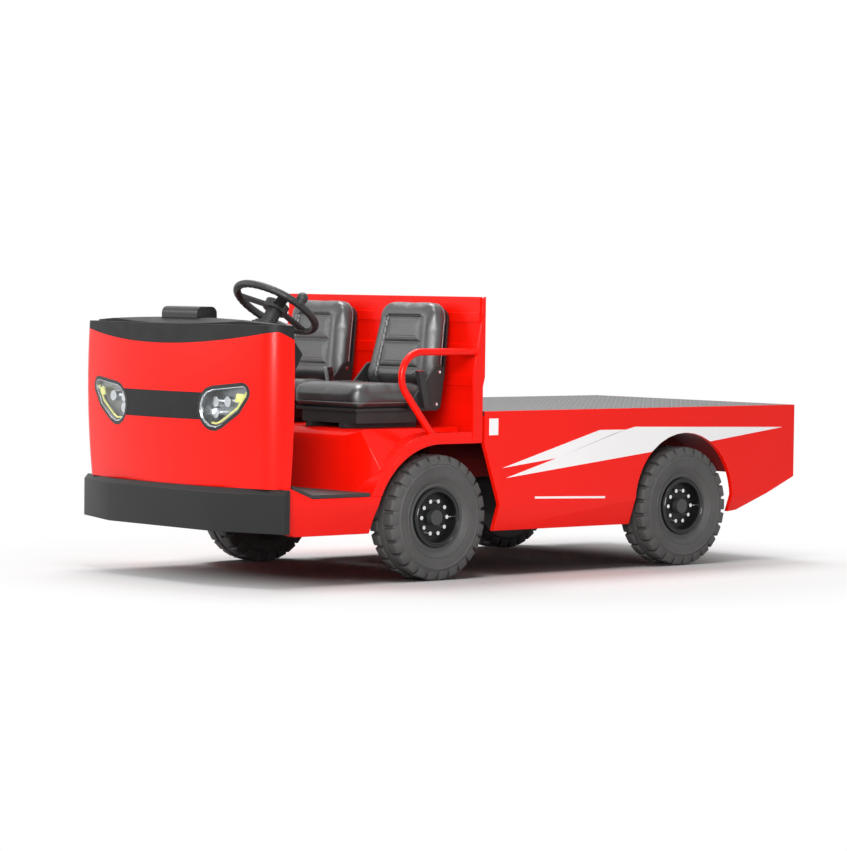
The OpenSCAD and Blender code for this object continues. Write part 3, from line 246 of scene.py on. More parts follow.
def vary_colour(tree, bsdf, factor, colour, low, high, span=(0.3, 0.7)):
    """Base colour going from one share of colour to another over a span of factor."""
    ramp = tree.nodes.new("ShaderNodeValToRGB")
    for element, position, share in zip(ramp.color_ramp.elements, span, (low, high)):
        element.position = position
        element.color = (*[min(1.0, c * share) for c in colour], 1.0)
    tree.links.new(factor, ramp.inputs["Fac"])
    tree.links.new(ramp.outputs["Color"], bsdf.inputs["Base Color"])


def vary_rough(tree, bsdf, noise, low, high):
    """Roughness drifting between low and high."""
    span = tree.nodes.new("ShaderNodeMapRange")
    put(span, {"From Min": 0.3, "From Max": 0.7, "To Min": low, "To Max": high})
    tree.links.new(noise, span.inputs["Value"])
    tree.links.new(span.outputs["Result"], bsdf.inputs["Roughness"])


def relief(tree, bsdf, height, strength, distance):
    """Bump from a height output."""
    bump = tree.nodes.new("ShaderNodeBump")
    put(bump, {"Strength": strength, "Distance": distance})
    tree.links.new(height, bump.inputs["Height"])
    tree.links.new(bump.outputs["Normal"], bsdf.inputs["Normal"])


def paint_finish(name, colour, rough, coat, drift=0.05):
    """Sprayed paint: a faint drift of colour, orange peel and a varying gloss."""
    tree, bsdf = shader(name, colour, rough, coat=coat, sheen=0.2)
    vary_colour(tree, bsdf, object_noise(tree, 2.2, 1.0), colour, 1.0 - drift, 1.0 + drift)
    vary_rough(tree, bsdf, object_noise(tree, 5.0, 1.0), rough * 0.95, rough * 1.06)
    relief(tree, bsdf, object_noise(tree, 260.0, 1.0), 0.01, 0.001)


def moulded_finish(name, colour, rough, grain=900.0, strength=0.25, sheen=0.5):
    """Moulded plastic with a fine grain."""
    tree, bsdf = shader(name, colour, rough, sheen=sheen)
    vary_colour(tree, bsdf, object_noise(tree, 6.0), colour, 0.85, 1.15)
    vary_rough(tree, bsdf, object_noise(tree, 14.0), rough * 0.9, min(1.0, rough * 1.12))
    relief(tree, bsdf, object_noise(tree, grain, 2.0), strength, 0.0006)


def ribbed_finish(name, colour, pitch):
    """Rubber matting with ribs across the truck."""
    tree, bsdf = shader(name, colour, 0.6)
    vary_colour(tree, bsdf, object_noise(tree, 6.0), colour, 0.85, 1.15)
    split = tree.nodes.new("ShaderNodeSeparateXYZ")
    tree.links.new(own_coords(tree), split.inputs["Vector"])
    wave = maths(tree, "SINE", maths(tree, "MULTIPLY", split.outputs["X"], math.tau / pitch))
    relief(tree, bsdf, wave, 0.6, 0.0015)


def vinyl_finish(name, colour):
    """Seat vinyl: pebbled grain and a soft sheen."""
    tree, bsdf = shader(name, colour, 0.36, sheen=0.9)
    vary_colour(tree, bsdf, object_noise(tree, 8.0), colour, 0.85, 1.2)
    vary_rough(tree, bsdf, object_noise(tree, 22.0), 0.32, 0.40)
    pebble = tree.nodes.new("ShaderNodeTexVoronoi")
    put(pebble, {"Scale": 420.0})
    tree.links.new(own_coords(tree), pebble.inputs["Vector"])
    relief(tree, bsdf, pebble.outputs["Distance"], 0.22, 0.0008)


def metal_finish(name, colour, rough):
    """Bare or plated metal with streaked gloss."""
    tree, bsdf = shader(name, colour, rough, metal=1.0)
    vary_colour(tree, bsdf, object_noise(tree, 12.0), colour, 0.8, 1.1)
    vary_rough(tree, bsdf, object_noise(tree, 60.0), rough * 0.8, rough * 1.3)


def glass_finish(name, colour, rough):
    """Clear lens."""
    bsdf = shader(name, colour, rough)[1]
    put(bsdf, {"Transmission Weight": 1.0, "IOR": 1.3})


def lens_finish(name, colour, glow):
    """Coloured moulded lens with fine ribs and a little glow of its own."""
    tree, bsdf = shader(name, colour, 0.3, coat=0.1, sheen=0.15)
    put(bsdf, {"Emission Color": (*colour, 1.0), "Emission Strength": glow})
    ribs = tree.nodes.new("ShaderNodeTexWave")
    ribs.bands_direction = "Z"
    put(ribs, {"Scale": 40.0})
    tree.links.new(own_coords(tree), ribs.inputs["Vector"])
    relief(tree, bsdf, ribs.outputs["Fac"], 0.3, 0.001)


def maths(tree, kind, a, b=None):
    """A Math node on sockets or numbers."""
    node = tree.nodes.new("ShaderNodeMath")
    node.operation = kind
    for socket, value in zip(node.inputs, (a, b)):
        if value is None:
            continue
        if isinstance(value, (int, float)):
            socket.default_value = value
        else:
            tree.links.new(value, socket)
    return node.outputs["Value"]


def shown_rays(tree):
    """One for rays from the camera, off a mirror or through glass, and zero for others."""
    path = tree.nodes.new("ShaderNodeLightPath")
    direct = maths(tree, "MAXIMUM", path.outputs["Is Camera Ray"], path.outputs["Is Transmission Ray"])
    return maths(tree, "MAXIMUM", direct, path.outputs["Is Glossy Ray"])


def chequer_finish(name, colour, pitch):
    """Chequer plate: raised lozenges turned each way in alternate cells, worn bright on top."""
    tree, bsdf = shader(name, colour, 0.5, metal=0.55)
    split = tree.nodes.new("ShaderNodeSeparateXYZ")
    tree.links.new(own_coords(tree), split.inputs["Vector"])
    u = maths(tree, "DIVIDE", split.outputs["X"], pitch)
    v = maths(tree, "DIVIDE", split.outputs["Y"], pitch)
    fu = maths(tree, "SUBTRACT", maths(tree, "FRACT", u), 0.5)
    fv = maths(tree, "SUBTRACT", maths(tree, "FRACT", v), 0.5)
    cell = maths(tree, "ADD", maths(tree, "FLOOR", u), maths(tree, "FLOOR", v))
    odd = maths(tree, "MODULO", cell, 2.0)
    flip = maths(tree, "SUBTRACT", maths(tree, "MULTIPLY", maths(tree, "ABSOLUTE", odd), 2.0), 1.0)
    swung = maths(tree, "MULTIPLY", fv, flip)

    def squared(kind, share):
        span = maths(tree, "ABSOLUTE", maths(tree, kind, fu, swung))
        return maths(tree, "POWER", maths(tree, "DIVIDE", span, share), 2.0)

    reach = maths(tree, "ADD", squared("ADD", 0.62), squared("SUBTRACT", 0.2))
    height = maths(tree, "MAXIMUM", maths(tree, "SUBTRACT", 1.0, reach), 0.0)
    relief(tree, bsdf, height, 0.9, 0.003)
    worn = maths(tree, "MULTIPLY", height, maths(tree, "ADD", object_noise(tree, 5.0), 0.4))
    vary_colour(tree, bsdf, worn, colour, 0.55, 1.7, (0.0, 0.5))


def deselect():
    """Deselects every object."""
    bpy.ops.object.select_all(action="DESELECT")


def only(obj):
    """Selects one object and makes it active."""
    deselect()
    obj.select_set(True)
    bpy.context.view_layer.objects.active = obj


def edit(obj, mode="FACE"):
    """Opens one object in edit mode with nothing selected."""
    only(obj)
    bpy.ops.object.mode_set(mode="EDIT")
    bpy.ops.mesh.select_mode(type=mode)
    bpy.ops.mesh.select_all(action="DESELECT")


def edit_all(obj):
    """Opens one object in edit mode with all its points selected."""
    edit(obj, "VERT")
    bpy.ops.mesh.select_all(action="SELECT")


def done():
    """Back to object mode."""
    bpy.ops.object.mode_set(mode="OBJECT")


def edit_faces(obj, test):
    """Opens one object in edit mode with the faces selected whose normal passes the test."""
    edit(obj)
    done()
    for face in obj.data.polygons:
        face.select = test(face.normal)
    bpy.ops.object.mode_set(mode="EDIT")


def pushed(obj, chosen, depth):
    """Pushes the chosen points of a piece inwards."""
    edit(obj, "VERT")
    done()
    obj.data.vertices.foreach_set("select", chosen)
    bpy.ops.object.mode_set(mode="EDIT")
    bpy.ops.transform.shrink_fatten(value=-depth)
    done()


def extruded(move):
    """Extrudes what is selected in edit mode."""
    bpy.ops.mesh.extrude_region_move(TRANSFORM_OT_translate={"value": move})


def named(name):
    """The active object, under its piece name and at the origin with its place in its mesh."""
    obj = bpy.context.object
    obj.name = name
    obj.data.name = name
    only(obj)
    bpy.ops.object.transform_apply(location=True, rotation=True, scale=True)
    return obj


def apply_modifiers(obj):
    """Applies the object's modifiers in order."""
    only(obj)
    for mod in list(obj.modifiers):
        bpy.ops.object.modifier_apply(modifier=mod.name)


def bevelled(obj, width, segments=2, angle=30.0):
    """Rounds every edge sharper than angle."""
    mod = obj.modifiers.new("edge", "BEVEL")
    mod.width = width
    mod.segments = segments
    mod.limit_method = "ANGLE"
    mod.angle_limit = math.radians(angle)
    mod.miter_outer = "MITER_ARC"
    apply_modifiers(obj)


def smooth(obj, angle=35.0):
    """Smooth shading with the sharp edges kept."""
    only(obj)
    bpy.ops.object.shade_smooth_by_angle(angle=math.radians(angle))


def finish_piece(obj, mats, body, replaced=()):
    """Gives a piece its materials, its body and the nodes that it stands for."""
    obj.data.materials.clear()
    for mat in mats:
        obj.data.materials.append(FINISHES[mat])
    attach(obj, body)
    for node in replaced:
        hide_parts(node)
    return obj


def panel_copy(node, name, edge, segments=2, angle=30.0):
    """A copy of a CAD node with its triangles merged and its edges rounded."""
    source = frame["nodes"][node]
    obj = bpy.data.objects.new(name, source.data.copy())
    obj.data.name = name
    bpy.context.scene.collection.objects.link(obj)
    edit_all(obj)
    bpy.ops.mesh.remove_doubles(threshold=MERGE_GAP)
    bpy.ops.mesh.customdata_custom_splitnormals_clear()
    bpy.ops.mesh.dissolve_limited(angle_limit=math.radians(0.3))
    done()
    if edge > 0:
        bevelled(obj, edge, segments, angle)
    smooth(obj, angle)
    flat = obj.modifiers.new("flat", "WEIGHTED_NORMAL")
    flat.keep_sharp = True
    apply_modifiers(obj)
    return obj


def dressed(node, mats, edge, segments=2, angle=30.0):
    """A CAD node's panel copy, finished in its materials and standing for the node."""
    obj = panel_copy(node, node + "_panel", edge, segments, angle)
    return finish_piece(obj, mats.split(), NODE_BODY[node], [node])


def dye(obj, index, test):
    """Gives the faces whose middle passes the test another of the piece's materials."""
    for face in obj.data.polygons:
        if test(face.center):
            face.material_index = index


def traced(points):
    """A wire through the points, made of one vertex extruded from each to the next, in edit mode."""
    deselect()
    bpy.ops.mesh.primitive_plane_add(size=0.01)
    bpy.ops.object.mode_set(mode="EDIT")
    bpy.ops.mesh.select_mode(type="VERT")
    bpy.ops.mesh.select_all(action="SELECT")
    bpy.ops.mesh.merge(type="CENTER")
    bpy.ops.transform.translate(value=points[0])
    for here, there in zip(points, points[1:]):
        extruded(Vector(there) - Vector(here))


def closed_up(name):
    """Merges the mesh in edit mode, points its faces outwards and leaves edit mode."""
    bpy.ops.mesh.select_all(action="SELECT")
    bpy.ops.mesh.remove_doubles(threshold=MERGE_GAP)
    bpy.ops.mesh.normals_make_consistent(inside=False)
    done()
    return named(name)


def plate(name, outline, depth):
    """A flat piece: its outline traced and filled, then extruded by depth."""
    traced(outline)
    bpy.ops.mesh.select_all(action="SELECT")
    bpy.ops.mesh.edge_face_add()
    bpy.ops.mesh.select_all(action="SELECT")
    extruded(depth)
    return closed_up(name)


def turned(name, section, steps):
    """A ring about the Y axis: a closed section of (radius, y) traced and spun."""
    points = [(r, y, 0.0) for r, y in section]
    traced(points + points[:1])
    bpy.ops.mesh.select_all(action="SELECT")
    bpy.ops.mesh.remove_doubles(threshold=MERGE_GAP)
    bpy.ops.mesh.spin(steps=steps, angle=math.tau, center=ORIGIN, axis=(0.0, 1.0, 0.0))
    return closed_up(name)


def joined(first, *others):
    """Joins meshes into the first."""
    only(first)
    for obj in others:
        obj.select_set(True)
    bpy.ops.object.join()
    return first


def copied(obj, name, move, mirror=False):
    """A copy with its own mesh, moved, or mirrored across the truck before that."""
    twin = bpy.data.objects.new(name, obj.data.copy())
    twin.data.name = name
    bpy.context.scene.collection.objects.link(twin)
    edit_all(twin)
    if mirror:
        bpy.ops.transform.mirror(constraint_axis=(False, True, False), center_override=ORIGIN)
        bpy.ops.mesh.flip_normals()
    bpy.ops.transform.translate(value=move)
    done()
    return twin


def paint_node(node, mat):
    """Gives a carried-over CAD node its material."""
    mesh = frame["nodes"][node].data
    mesh.materials.clear()
    mesh.materials.append(FINISHES[mat])


class TRUCK_OT_finishes(bpy.types.Operator):
    """Make every material of the truck"""

    bl_idname = "truck.finishes"
    bl_label = "Finishes"

    def execute(self, context):
        c = context.scene.truck_colours
        paint_finish("red_paint", c.red, 0.30, 0.1, 0.02)
        paint_finish("dark_red_paint", c.dark_red, 0.5, 0.0, 0.2)
        paint_finish("charcoal_paint", c.charcoal, 0.45, 0.1, 0.12)
        moulded_finish("black_plastic", c.black, 0.48)
        moulded_finish("dash_plastic", c.black, 0.5, sheen=0.2)
        moulded_finish("pod_plastic", c.black, 0.26, 900.0, 0.1)
        ribbed_finish("rubber_mat", [v * 0.35 for v in c.rubber], 0.014)
        moulded_finish("tyre_rubber", c.rubber, 0.62, 180.0, 0.2)
        vinyl_finish("seat_vinyl", [v * 2.0 for v in c.black])
        # Piping in a lighter grey than the black vinyl: a painted highlight along the seams
        moulded_finish("seat_piping", [v * 9.0 for v in c.black], 0.32)
        metal_finish("steel", (0.5, 0.51, 0.52), 0.35)
        metal_finish("bright_steel", (0.75, 0.76, 0.78), 0.18)
        paint_finish("wheel_black", [v * 0.45 for v in c.charcoal], 0.4, 0.1, 0.12)
        paint_finish("lip_black", c.charcoal, 0.28, 0.3, 0.1)
        moulded_finish("hub_grey", [v * 2.2 for v in c.charcoal], 0.42)
        metal_finish("lamp_shell", (0.30, 0.305, 0.31), 0.32)
        moulded_finish("lamp_black", [v * 0.6 for v in c.black], 0.3)
        glass_finish("lamp_lens", (0.95, 0.97, 0.98), 0.02)
        lens_finish("light_guide", (0.75, 0.72, 0.22), 0.25)
        lens_finish("tail_lens", (0.28, 0.003, 0.002), 0.15)
        paint_finish("stripe_white", c.white, 0.35, 0.3, 0.02)
        # Grey of the painted shade along the stripe's fold
        paint_finish("stripe_painted_shade", (0.55, 0.56, 0.57), 0.35, 0.3, 0.04)
        paint_finish("button_red", (0.55, 0.02, 0.015), 0.4, 0.0)
        chequer_finish("deck_plate", c.deck, 0.034)
        return {"FINISHED"}


class TRUCK_OT_panels(bpy.types.Operator):
    """Round and paint the body's panels and the frame"""

    bl_idname = "truck.panels"
    bl_label = "Panels and frame"

    def execute(self, context):
        edge = context.scene.truck_sizes.edge
        dressed("front_cowl", "red_paint", edge * 0.6)
        for node in ("side_sills", "seat_box", "fenders", "bulkhead", "hip_rails",
                     "platform_side_left", "platform_side_right", "platform_tail"):
            dressed(node, "red_paint", edge)
        for node in ("chassis_frame", "cab_floor", "platform_frame", "rear_arch_liners"):
            dressed(node, "dark_red_paint", edge * 0.6)
        for node in ("bumper", "front_axle", "rear_axle", "leaf_springs", "battery_box", "tow_jaw",
                     "knuckle_left", "knuckle_right", "tie_rod"):
            dressed(node, "charcoal_paint", edge * 0.6)
        dressed("dash", "dash_plastic", edge * 1.2, 3, 24.0)
        dressed("lamp_band", "dash_plastic", edge * 0.6)
        dressed("instrument_pod", "pod_plastic", edge * 1.5, 3)
        for node in ("pedals", "seat_bases", "seat_back_shells", "steering_column", "steering_wheel"):
            dressed(node, "black_plastic", edge * 0.5)
        dressed("floor_mat", "rubber_mat", edge * 0.5)
        dressed("drive_motor", "steel", edge)
        dressed("tail_lamps", "tail_lens", edge)
        paint_node("platform_deck", "deck_plate")
        return {"FINISHED"}


class TRUCK_OT_wheels(bpy.types.Operator):
    """Model one tyre, valve and rim lip, give each wheel its copies and dress the rims"""

    bl_idname = "truck.wheels"
    bl_label = "Wheels"

    # Outlines as radius and place along the axle: half the carcass, one lug and the rim's lip
    SECTION = (
        (0.140, 0.060), (0.150, 0.066), (0.160, 0.064), (0.176, 0.076), (0.184, 0.0795), (0.186, 0.0825),
        (0.189, 0.0835), (0.191, 0.0815), (0.205, 0.086), (0.226, 0.088),
        (0.236, 0.0885), (0.240, 0.091), (0.244, 0.0885), (0.262, 0.083), (0.274, 0.072), (0.279, 0.045),
        (0.280, 0.018), (0.291, 0.014))
    LUG = ((0.288, 0.020), (0.295, 0.026), (0.295, 0.066), (0.291, 0.077), (0.252, 0.0895), (0.249, 0.082),
           (0.270, 0.060), (0.274, 0.020))
    LIP = ((0.1185, 0.0680), (0.1195, 0.0730), (0.1215, 0.0745), (0.1250, 0.0740), (0.1275, 0.0712),
           (0.1330, 0.0712), (0.1350, 0.0738), (0.1378, 0.0738), (0.1392, 0.0715), (0.1392, 0.0680))

    def execute(self, context):
        sizes = context.scene.truck_sizes
        tyre = self.tyre(sizes.lugs, sizes.lug_length)
        valve = self.valve()
        lip = turned("rim_lip", self.LIP, LIP_STEPS)
        for x, row in ((FRONT_AXLE_X, "front"), (REAR_AXLE_X, "rear")):
            for sign, side in ((1, "left"), (-1, "right")):
                corner = row + "_" + side
                place = Vector((x, sign * WHEEL_Y, AXLE_Z))
                piece = copied(tyre, "tread_" + corner, place)
                smooth(piece, 32.0)
                node = "tyre_" + corner
                finish_piece(piece, ["tyre_rubber"], NODE_BODY[node], [node])
                self.rim("rim_" + corner, place, sign)
                body = NODE_BODY["rim_" + corner]
                stem = copied(valve, "valve_" + corner, place + Vector((0.0, sign * VALVE_OUT, 0.0)))
                finish_piece(stem, ["bright_steel"], body)
                ring = copied(lip, "rim_lip_" + corner, place, mirror=sign < 0)
                smooth(ring, 25.0)
                finish_piece(ring, ["lip_black"], body)
        for pattern in (tyre, valve, lip):
            bpy.data.objects.remove(pattern)
        return {"FINISHED"}

    def tyre(self, count, length):
        """A carcass with one lug copied round each shoulder, the far ones half a pitch on."""
        mirrored = [(r, -y) for r, y in reversed(self.SECTION)]
        carcass = turned("tyre_carcass", list(self.SECTION) + mirrored, TYRE_STEPS)
        outline = [(r, y, -length / 2) for r, y in self.LUG]
        lug = plate("tyre_lug", outline, (0.0, 0.0, length))
        bevelled(lug, LUG_EDGE, 2, 25.0)
        edit_all(lug)
        bpy.ops.mesh.spin(steps=count - 1, dupli=True, angle=math.tau * (count - 1) / count,
                          center=ORIGIN, axis=(0.0, 1.0, 0.0))
        closed_up("tyre_lug")
        far = copied(lug, "tyre_lug_far", ORIGIN, mirror=True)
        edit_all(far)
        bpy.ops.transform.rotate(value=math.pi / count, orient_axis="Y", center_override=ORIGIN)
        done()
        return joined(carcass, lug, far)

    def valve(self):
        """A valve stem that points from the rim's barrel to the hub."""
        deselect()
        bpy.ops.mesh.primitive_cylinder_add(vertices=10, radius=VALVE_STEM_R, depth=VALVE_L,
                                            location=(-(VALVE_R + VALVE_L / 2), 0.0, 0.0),
                                            rotation=(0.0, math.pi / 2, 0.0))
        stem = named("valve_stem")
        edit_faces(stem, lambda normal: normal.x > END_FACING)
        bpy.ops.mesh.inset(thickness=VALVE_STEP)
        extruded((VALVE_TIP, 0.0, 0.0))
        done()
        bevelled(stem, FINE_EDGE)
        smooth(stem)
        return stem

    def rim(self, node, place, sign):
        """A rim in black with bright nuts and a grey hub."""
        rim = dressed(node, "wheel_black bright_steel hub_grey", 0.002)

        def spot(point):
            from_axle = math.hypot(point.x - place.x, point.z - place.z)
            return sign * (point.y - place.y), from_axle

        def is_nut(point):
            out, from_axle = spot(point)
            return out > NUT_OUT and abs(from_axle - STUD_R) < NUT_R

        def is_hub(point):
            out, from_axle = spot(point)
            return out > HUB_OUT and from_axle < HUB_R

        dye(rim, 1, is_nut)
        dye(rim, 2, is_hub)


class TRUCK_OT_seats(bpy.types.Operator):
    """Upholster the seats: pads swollen by cloth, panels sewn in, piping, one seat copied to the other"""

    bl_idname = "truck.seats"
    bl_label = "Seats"

    def execute(self, context):
        sizes = context.scene.truck_sizes
        up = Vector((-math.sin(BACK_LEAN), 0.0, math.cos(BACK_LEAN)))
        out = Vector((math.cos(BACK_LEAN), 0.0, math.sin(BACK_LEAN)))
        level = (Vector((1.0, 0.0, 0.0)), Vector((0.0, 0.0, 1.0)))
        for part, place, axes, lines in (
                ("seat_cushion_", CUSHION_PIPING, level, CUSHION_PANEL),
                ("seat_back_", (BACK_X, SEAT_Y, BACK_Z), (up, out), BACK_PANEL)):
            pad = self.pad(context, part, sizes.pad_cap)
            self.refined(pad)
            self.panelled(pad, Vector(place), axes, lines, sizes.channel)
            smooth(pad, 60.0)
            seam = Vector(place) - axes[1] * (BACK_SEAM if part == "seat_back_" else 0.0)
            piping = self.piping(pad, part + "piping_left", seam, axes[1])
            for obj, mat in ((pad, "seat_vinyl"), (piping, "seat_piping")):
                twin = copied(obj, obj.name.replace("_left", "_right"), (0.0, -2 * SEAT_Y, 0.0))
                smooth(twin, 60.0)
                for piece, side in ((obj, "left"), (twin, "right")):
                    node = part + side
                    stands = [node] if mat == "seat_vinyl" else []
                    finish_piece(piece, [mat], NODE_BODY[node], stands)
        return {"FINISHED"}

    def pad(self, context, part, cap):
        """A seat's solid, rounded, swollen by cloth up to a cap and smoothed."""
        pad = panel_copy(part + "left", part + "pad_left", PAD_EDGE, PAD_SEGMENTS)
        middle = sum((v.co for v in pad.data.vertices), Vector()) / len(pad.data.vertices)
        edit_all(pad)
        bpy.ops.transform.resize(value=(PAD_SHARE,) * 3, center_override=middle)
        done()
        pad.data.remesh_voxel_size = PAD_GRID
        bpy.ops.object.voxel_remesh()
        start = [v.co.copy() for v in pad.data.vertices]
        cloth = pad.modifiers.new("swell", "CLOTH")
        cloth.settings.use_pressure = True
        cloth.settings.uniform_pressure_force = PAD_PRESSURE
        cloth.settings.effector_weights.gravity = 0.0
        for step in range(1, PAD_FRAMES + 1):
            context.scene.frame_set(step)
        swollen = pad.evaluated_get(context.evaluated_depsgraph_get()).data
        moves = [v.co - home for v, home in zip(swollen.vertices, start)]
        pad.modifiers.remove(cloth)
        context.scene.frame_set(1)
        for vertex, home, move in zip(pad.data.vertices, start, moves):
            vertex.co = home + move * min(1.0, cap / max(move.length, cap))
        edit_all(pad)
        bpy.ops.mesh.vertices_smooth(factor=0.5, repeat=PAD_SMOOTHING)
        done()
        return pad

    def refined(self, pad):
        """Halves the pad's grid for the sewing."""
        mod = pad.modifiers.new("soft", "SUBSURF")
        mod.levels = 1
        mod.render_levels = 1
        apply_modifiers(pad)

    def panelled(self, pad, foot, axes, panel, depth):
        """Sinks the panel between the bolsters, then sews its channels, deepest in their middle."""
        up, out = axes
        low, top, low_half, top_half, levels = panel

        def place(vertex):
            rise = (vertex.co - foot).dot(up)
            share = min(1.0, max(0.0, (rise - low) / (top - low)))
            half = low_half + (top_half - low_half) * share
            return rise, half - abs(vertex.co.y - SEAT_Y)

        faces = [v.normal.dot(out) > SEWN_FACING for v in pad.data.vertices]
        spots = [place(v) for v in pad.data.vertices]
        for rim, sunk in PANEL_STEPS:
            chosen = [f and i > rim and low + rim < r < top - rim for f, (r, i) in zip(faces, spots)]
            pushed(pad, chosen, sunk)
        for reach, share in CHANNEL_STEPS:
            chosen = []
            for face, (rise, inside) in zip(faces, spots):
                across = inside > 0.0 and min(abs(rise - level) for level in levels) < reach
                edges = abs(inside) < reach and low < rise < top
                chosen.append(face and (across or edges))
            pushed(pad, chosen, depth * share)

    def piping(self, pad, name, place, normal):
        """A cord of piping where a plane cuts the pad."""
        cut = copied(pad, name, ORIGIN)
        edit_all(cut)
        bpy.ops.mesh.bisect(plane_co=place, plane_no=normal, clear_inner=True, clear_outer=True)
        done()
        bpy.ops.object.convert(target="CURVE")
        cord = bpy.context.object
        cord.data.bevel_depth = PIPING_R
        cord.data.bevel_resolution = 2
        bpy.ops.object.convert(target="MESH")
        edit(named(name), "VERT")
        return closed_up(name)


def cowl_skin(y, z):
    """How far forward the cowl's skin is at y and z."""
    bow = COWL_BOW_R - math.sqrt(COWL_BOW_R ** 2 - (z - COWL_BOW_Z) ** 2)
    return COWL_X - COWL_PLAN_R + math.sqrt((COWL_PLAN_R - bow) ** 2 - y * y)


def lamp_points(inset):
    """The lamp's outline of three round corners joined by straight edges, drawn in by inset."""
    corners = LAMP_CORNERS

    def leaves(a, b):
        dy, dz = b[0] - a[0], b[1] - a[1]
        return math.atan2(dz, dy) - math.acos((a[2] - b[2]) / math.hypot(dy, dz))

    points = []
    for i, (y, z, r) in enumerate(corners):
        start = leaves(corners[i - 1], corners[i])
        turn = (leaves(corners[i], corners[(i + 1) % 3]) - start) % math.tau
        for k in range(CORNER_STEPS + 1):
            angle = start + turn * k / CORNER_STEPS
            points.append((y + (r - inset) * math.cos(angle), z + (r - inset) * math.sin(angle)))
    return points


def behind_skin(points, depth):
    """Places of y and z set at a depth behind the cowl's skin."""
    return [(cowl_skin(y, z) - depth, y, z) for y, z in points]


class TRUCK_OT_lamps(bpy.types.Operator):
    """Dress the headlamps: bright projectors and ring, a light guide along the lower edge, a clear lens"""

    bl_idname = "truck.lamps"
    bl_label = "Lamps"

    # Middles of the projectors in y and z
    PROJECTORS = ((0.352, 0.842), (0.352, 0.790), (0.440, 0.844))

    def execute(self, context):
        lamps = dressed("headlamps", "lamp_shell bright_steel lamp_black", 0.001)
        dye(lamps, 1, self.in_projector)
        dye(lamps, 2, lambda p: not LAMP_DEPTH > cowl_skin(abs(p.y), p.z) - p.x > GASKET_T)
        back = min(corner.co.x for corner in lamps.data.vertices)
        dye(lamps, 2, lambda p: p.x < back + LAMP_BACK_T / 2)
        paint_node("headlamp_lenses", "lamp_lens")
        for make, name, mat, slot in ((self.guide, "light_guide", "light_guide", "lamp_lens"),
                                      (self.bezel, "lamp_bezel", "bright_steel", "black_plastic")):
            left = make(name + "_left")
            right = copied(left, name + "_right", ORIGIN, mirror=True)
            for obj in (left, right):
                smooth(obj)
                finish_piece(obj, [mat], NODE_BODY["headlamps"])
        return {"FINISHED"}

    def in_projector(self, point):
        """Whether a point of the housing belongs to a projector."""
        near = min(math.hypot(abs(point.y) - y, point.z - z) for y, z in self.PROJECTORS)
        return near < PROJECTOR_R and point.x > cowl_skin(abs(point.y), point.z) - PROJECTOR_DEPTH

    def guide(self, name):
        """A strip along the lamp's lower edge, with its square end."""
        outer, inner = lamp_points(GUIDE_OUTER), lamp_points(GUIDE_INNER)
        first, last = CORNER_STEPS // 2 + 2, 3 * CORNER_STEPS - 2
        route = outer[first:last] + inner[first:last][::-1]
        strip = plate(name, behind_skin(route, GUIDE_DEPTH), (GUIDE_T, 0.0, 0.0))
        end = plate(name, behind_skin(GUIDE_END, GUIDE_DEPTH), (GUIDE_END_T, 0.0, 0.0))
        guide = joined(strip, end)
        bevelled(guide, GUIDE_EDGE)
        return guide

    def bezel(self, name):
        """A ring round the lens: a short wall, a face drawn in from it and an inner lip."""
        outer, inner = lamp_points(RING_OUTER), lamp_points(RING_INNER)
        traced(behind_skin(outer + outer[:1], RING_DEPTH))
        bpy.ops.mesh.select_all(action="SELECT")
        bpy.ops.mesh.remove_doubles(threshold=MERGE_GAP)
        extruded((RING_FRONT, 0.0, 0.0))
        middle_y, middle_z = (sum(values) / len(inner) for values in zip(*inner))
        extruded(ORIGIN)
        bpy.ops.transform.resize(value=RING_SHARES, center_override=(0.0, middle_y, middle_z))
        extruded((-RING_LIP, 0.0, 0.0))
        obj = closed_up(name)
        wall = obj.modifiers.new("wall", "SOLIDIFY")
        wall.thickness = RING_WALL
        apply_modifiers(obj)
        return obj


class TRUCK_OT_stripes(bpy.types.Operator):
    """Lay the white stripe, a grey sliver of painted shade along its fold, the line and the blank plate on
    the platform's sides
    """

    bl_idname = "truck.stripes"
    bl_label = "Stripes"

    def execute(self, context):
        body = NODE_BODY["platform_side_left"]
        for name, points, rise, mat in (
                ("stripe", self.outline(), STRIPE_T, "stripe_white"),
                ("stripe_fold_shade", STRIPE_FOLD_SHADE, FOLD_SHADE_T, "stripe_painted_shade"),
                ("stripe_line", LINE_CORNERS, STRIPE_T, "stripe_white")):
            left = self.laid(name + "_left", points, rise)
            right = copied(left, name + "_right", ORIGIN, mirror=True)
            for obj in (left, right):
                finish_piece(obj, [mat], body)
        blank = self.laid("blank_plate", PLATE_CORNERS, PLATE_T)
        bevelled(blank, FINE_EDGE)
        finish_piece(blank, ["stripe_white"], body)
        return {"FINISHED"}

    def outline(self):
        """The stripe's outline, cut out round the rear arch."""
        reach = ARCH_R + ARCH_CLEAR
        angles = [math.radians(degrees) for degrees in range(120, 40, -10)]
        arc = [(REAR_AXLE_X + reach * math.cos(a), ARCH_Z + reach * math.sin(a)) for a in angles]
        return [*STRIPE_TOP, ARCH_REAR, *arc, ARCH_FRONT, *STRIPE_LOW]

    def laid(self, name, points, rise):
        """A thin marking or plate on the platform's left side."""
        return plate(name, [(x, SIDE_Y, z) for x, z in points], (0.0, rise, 0.0))


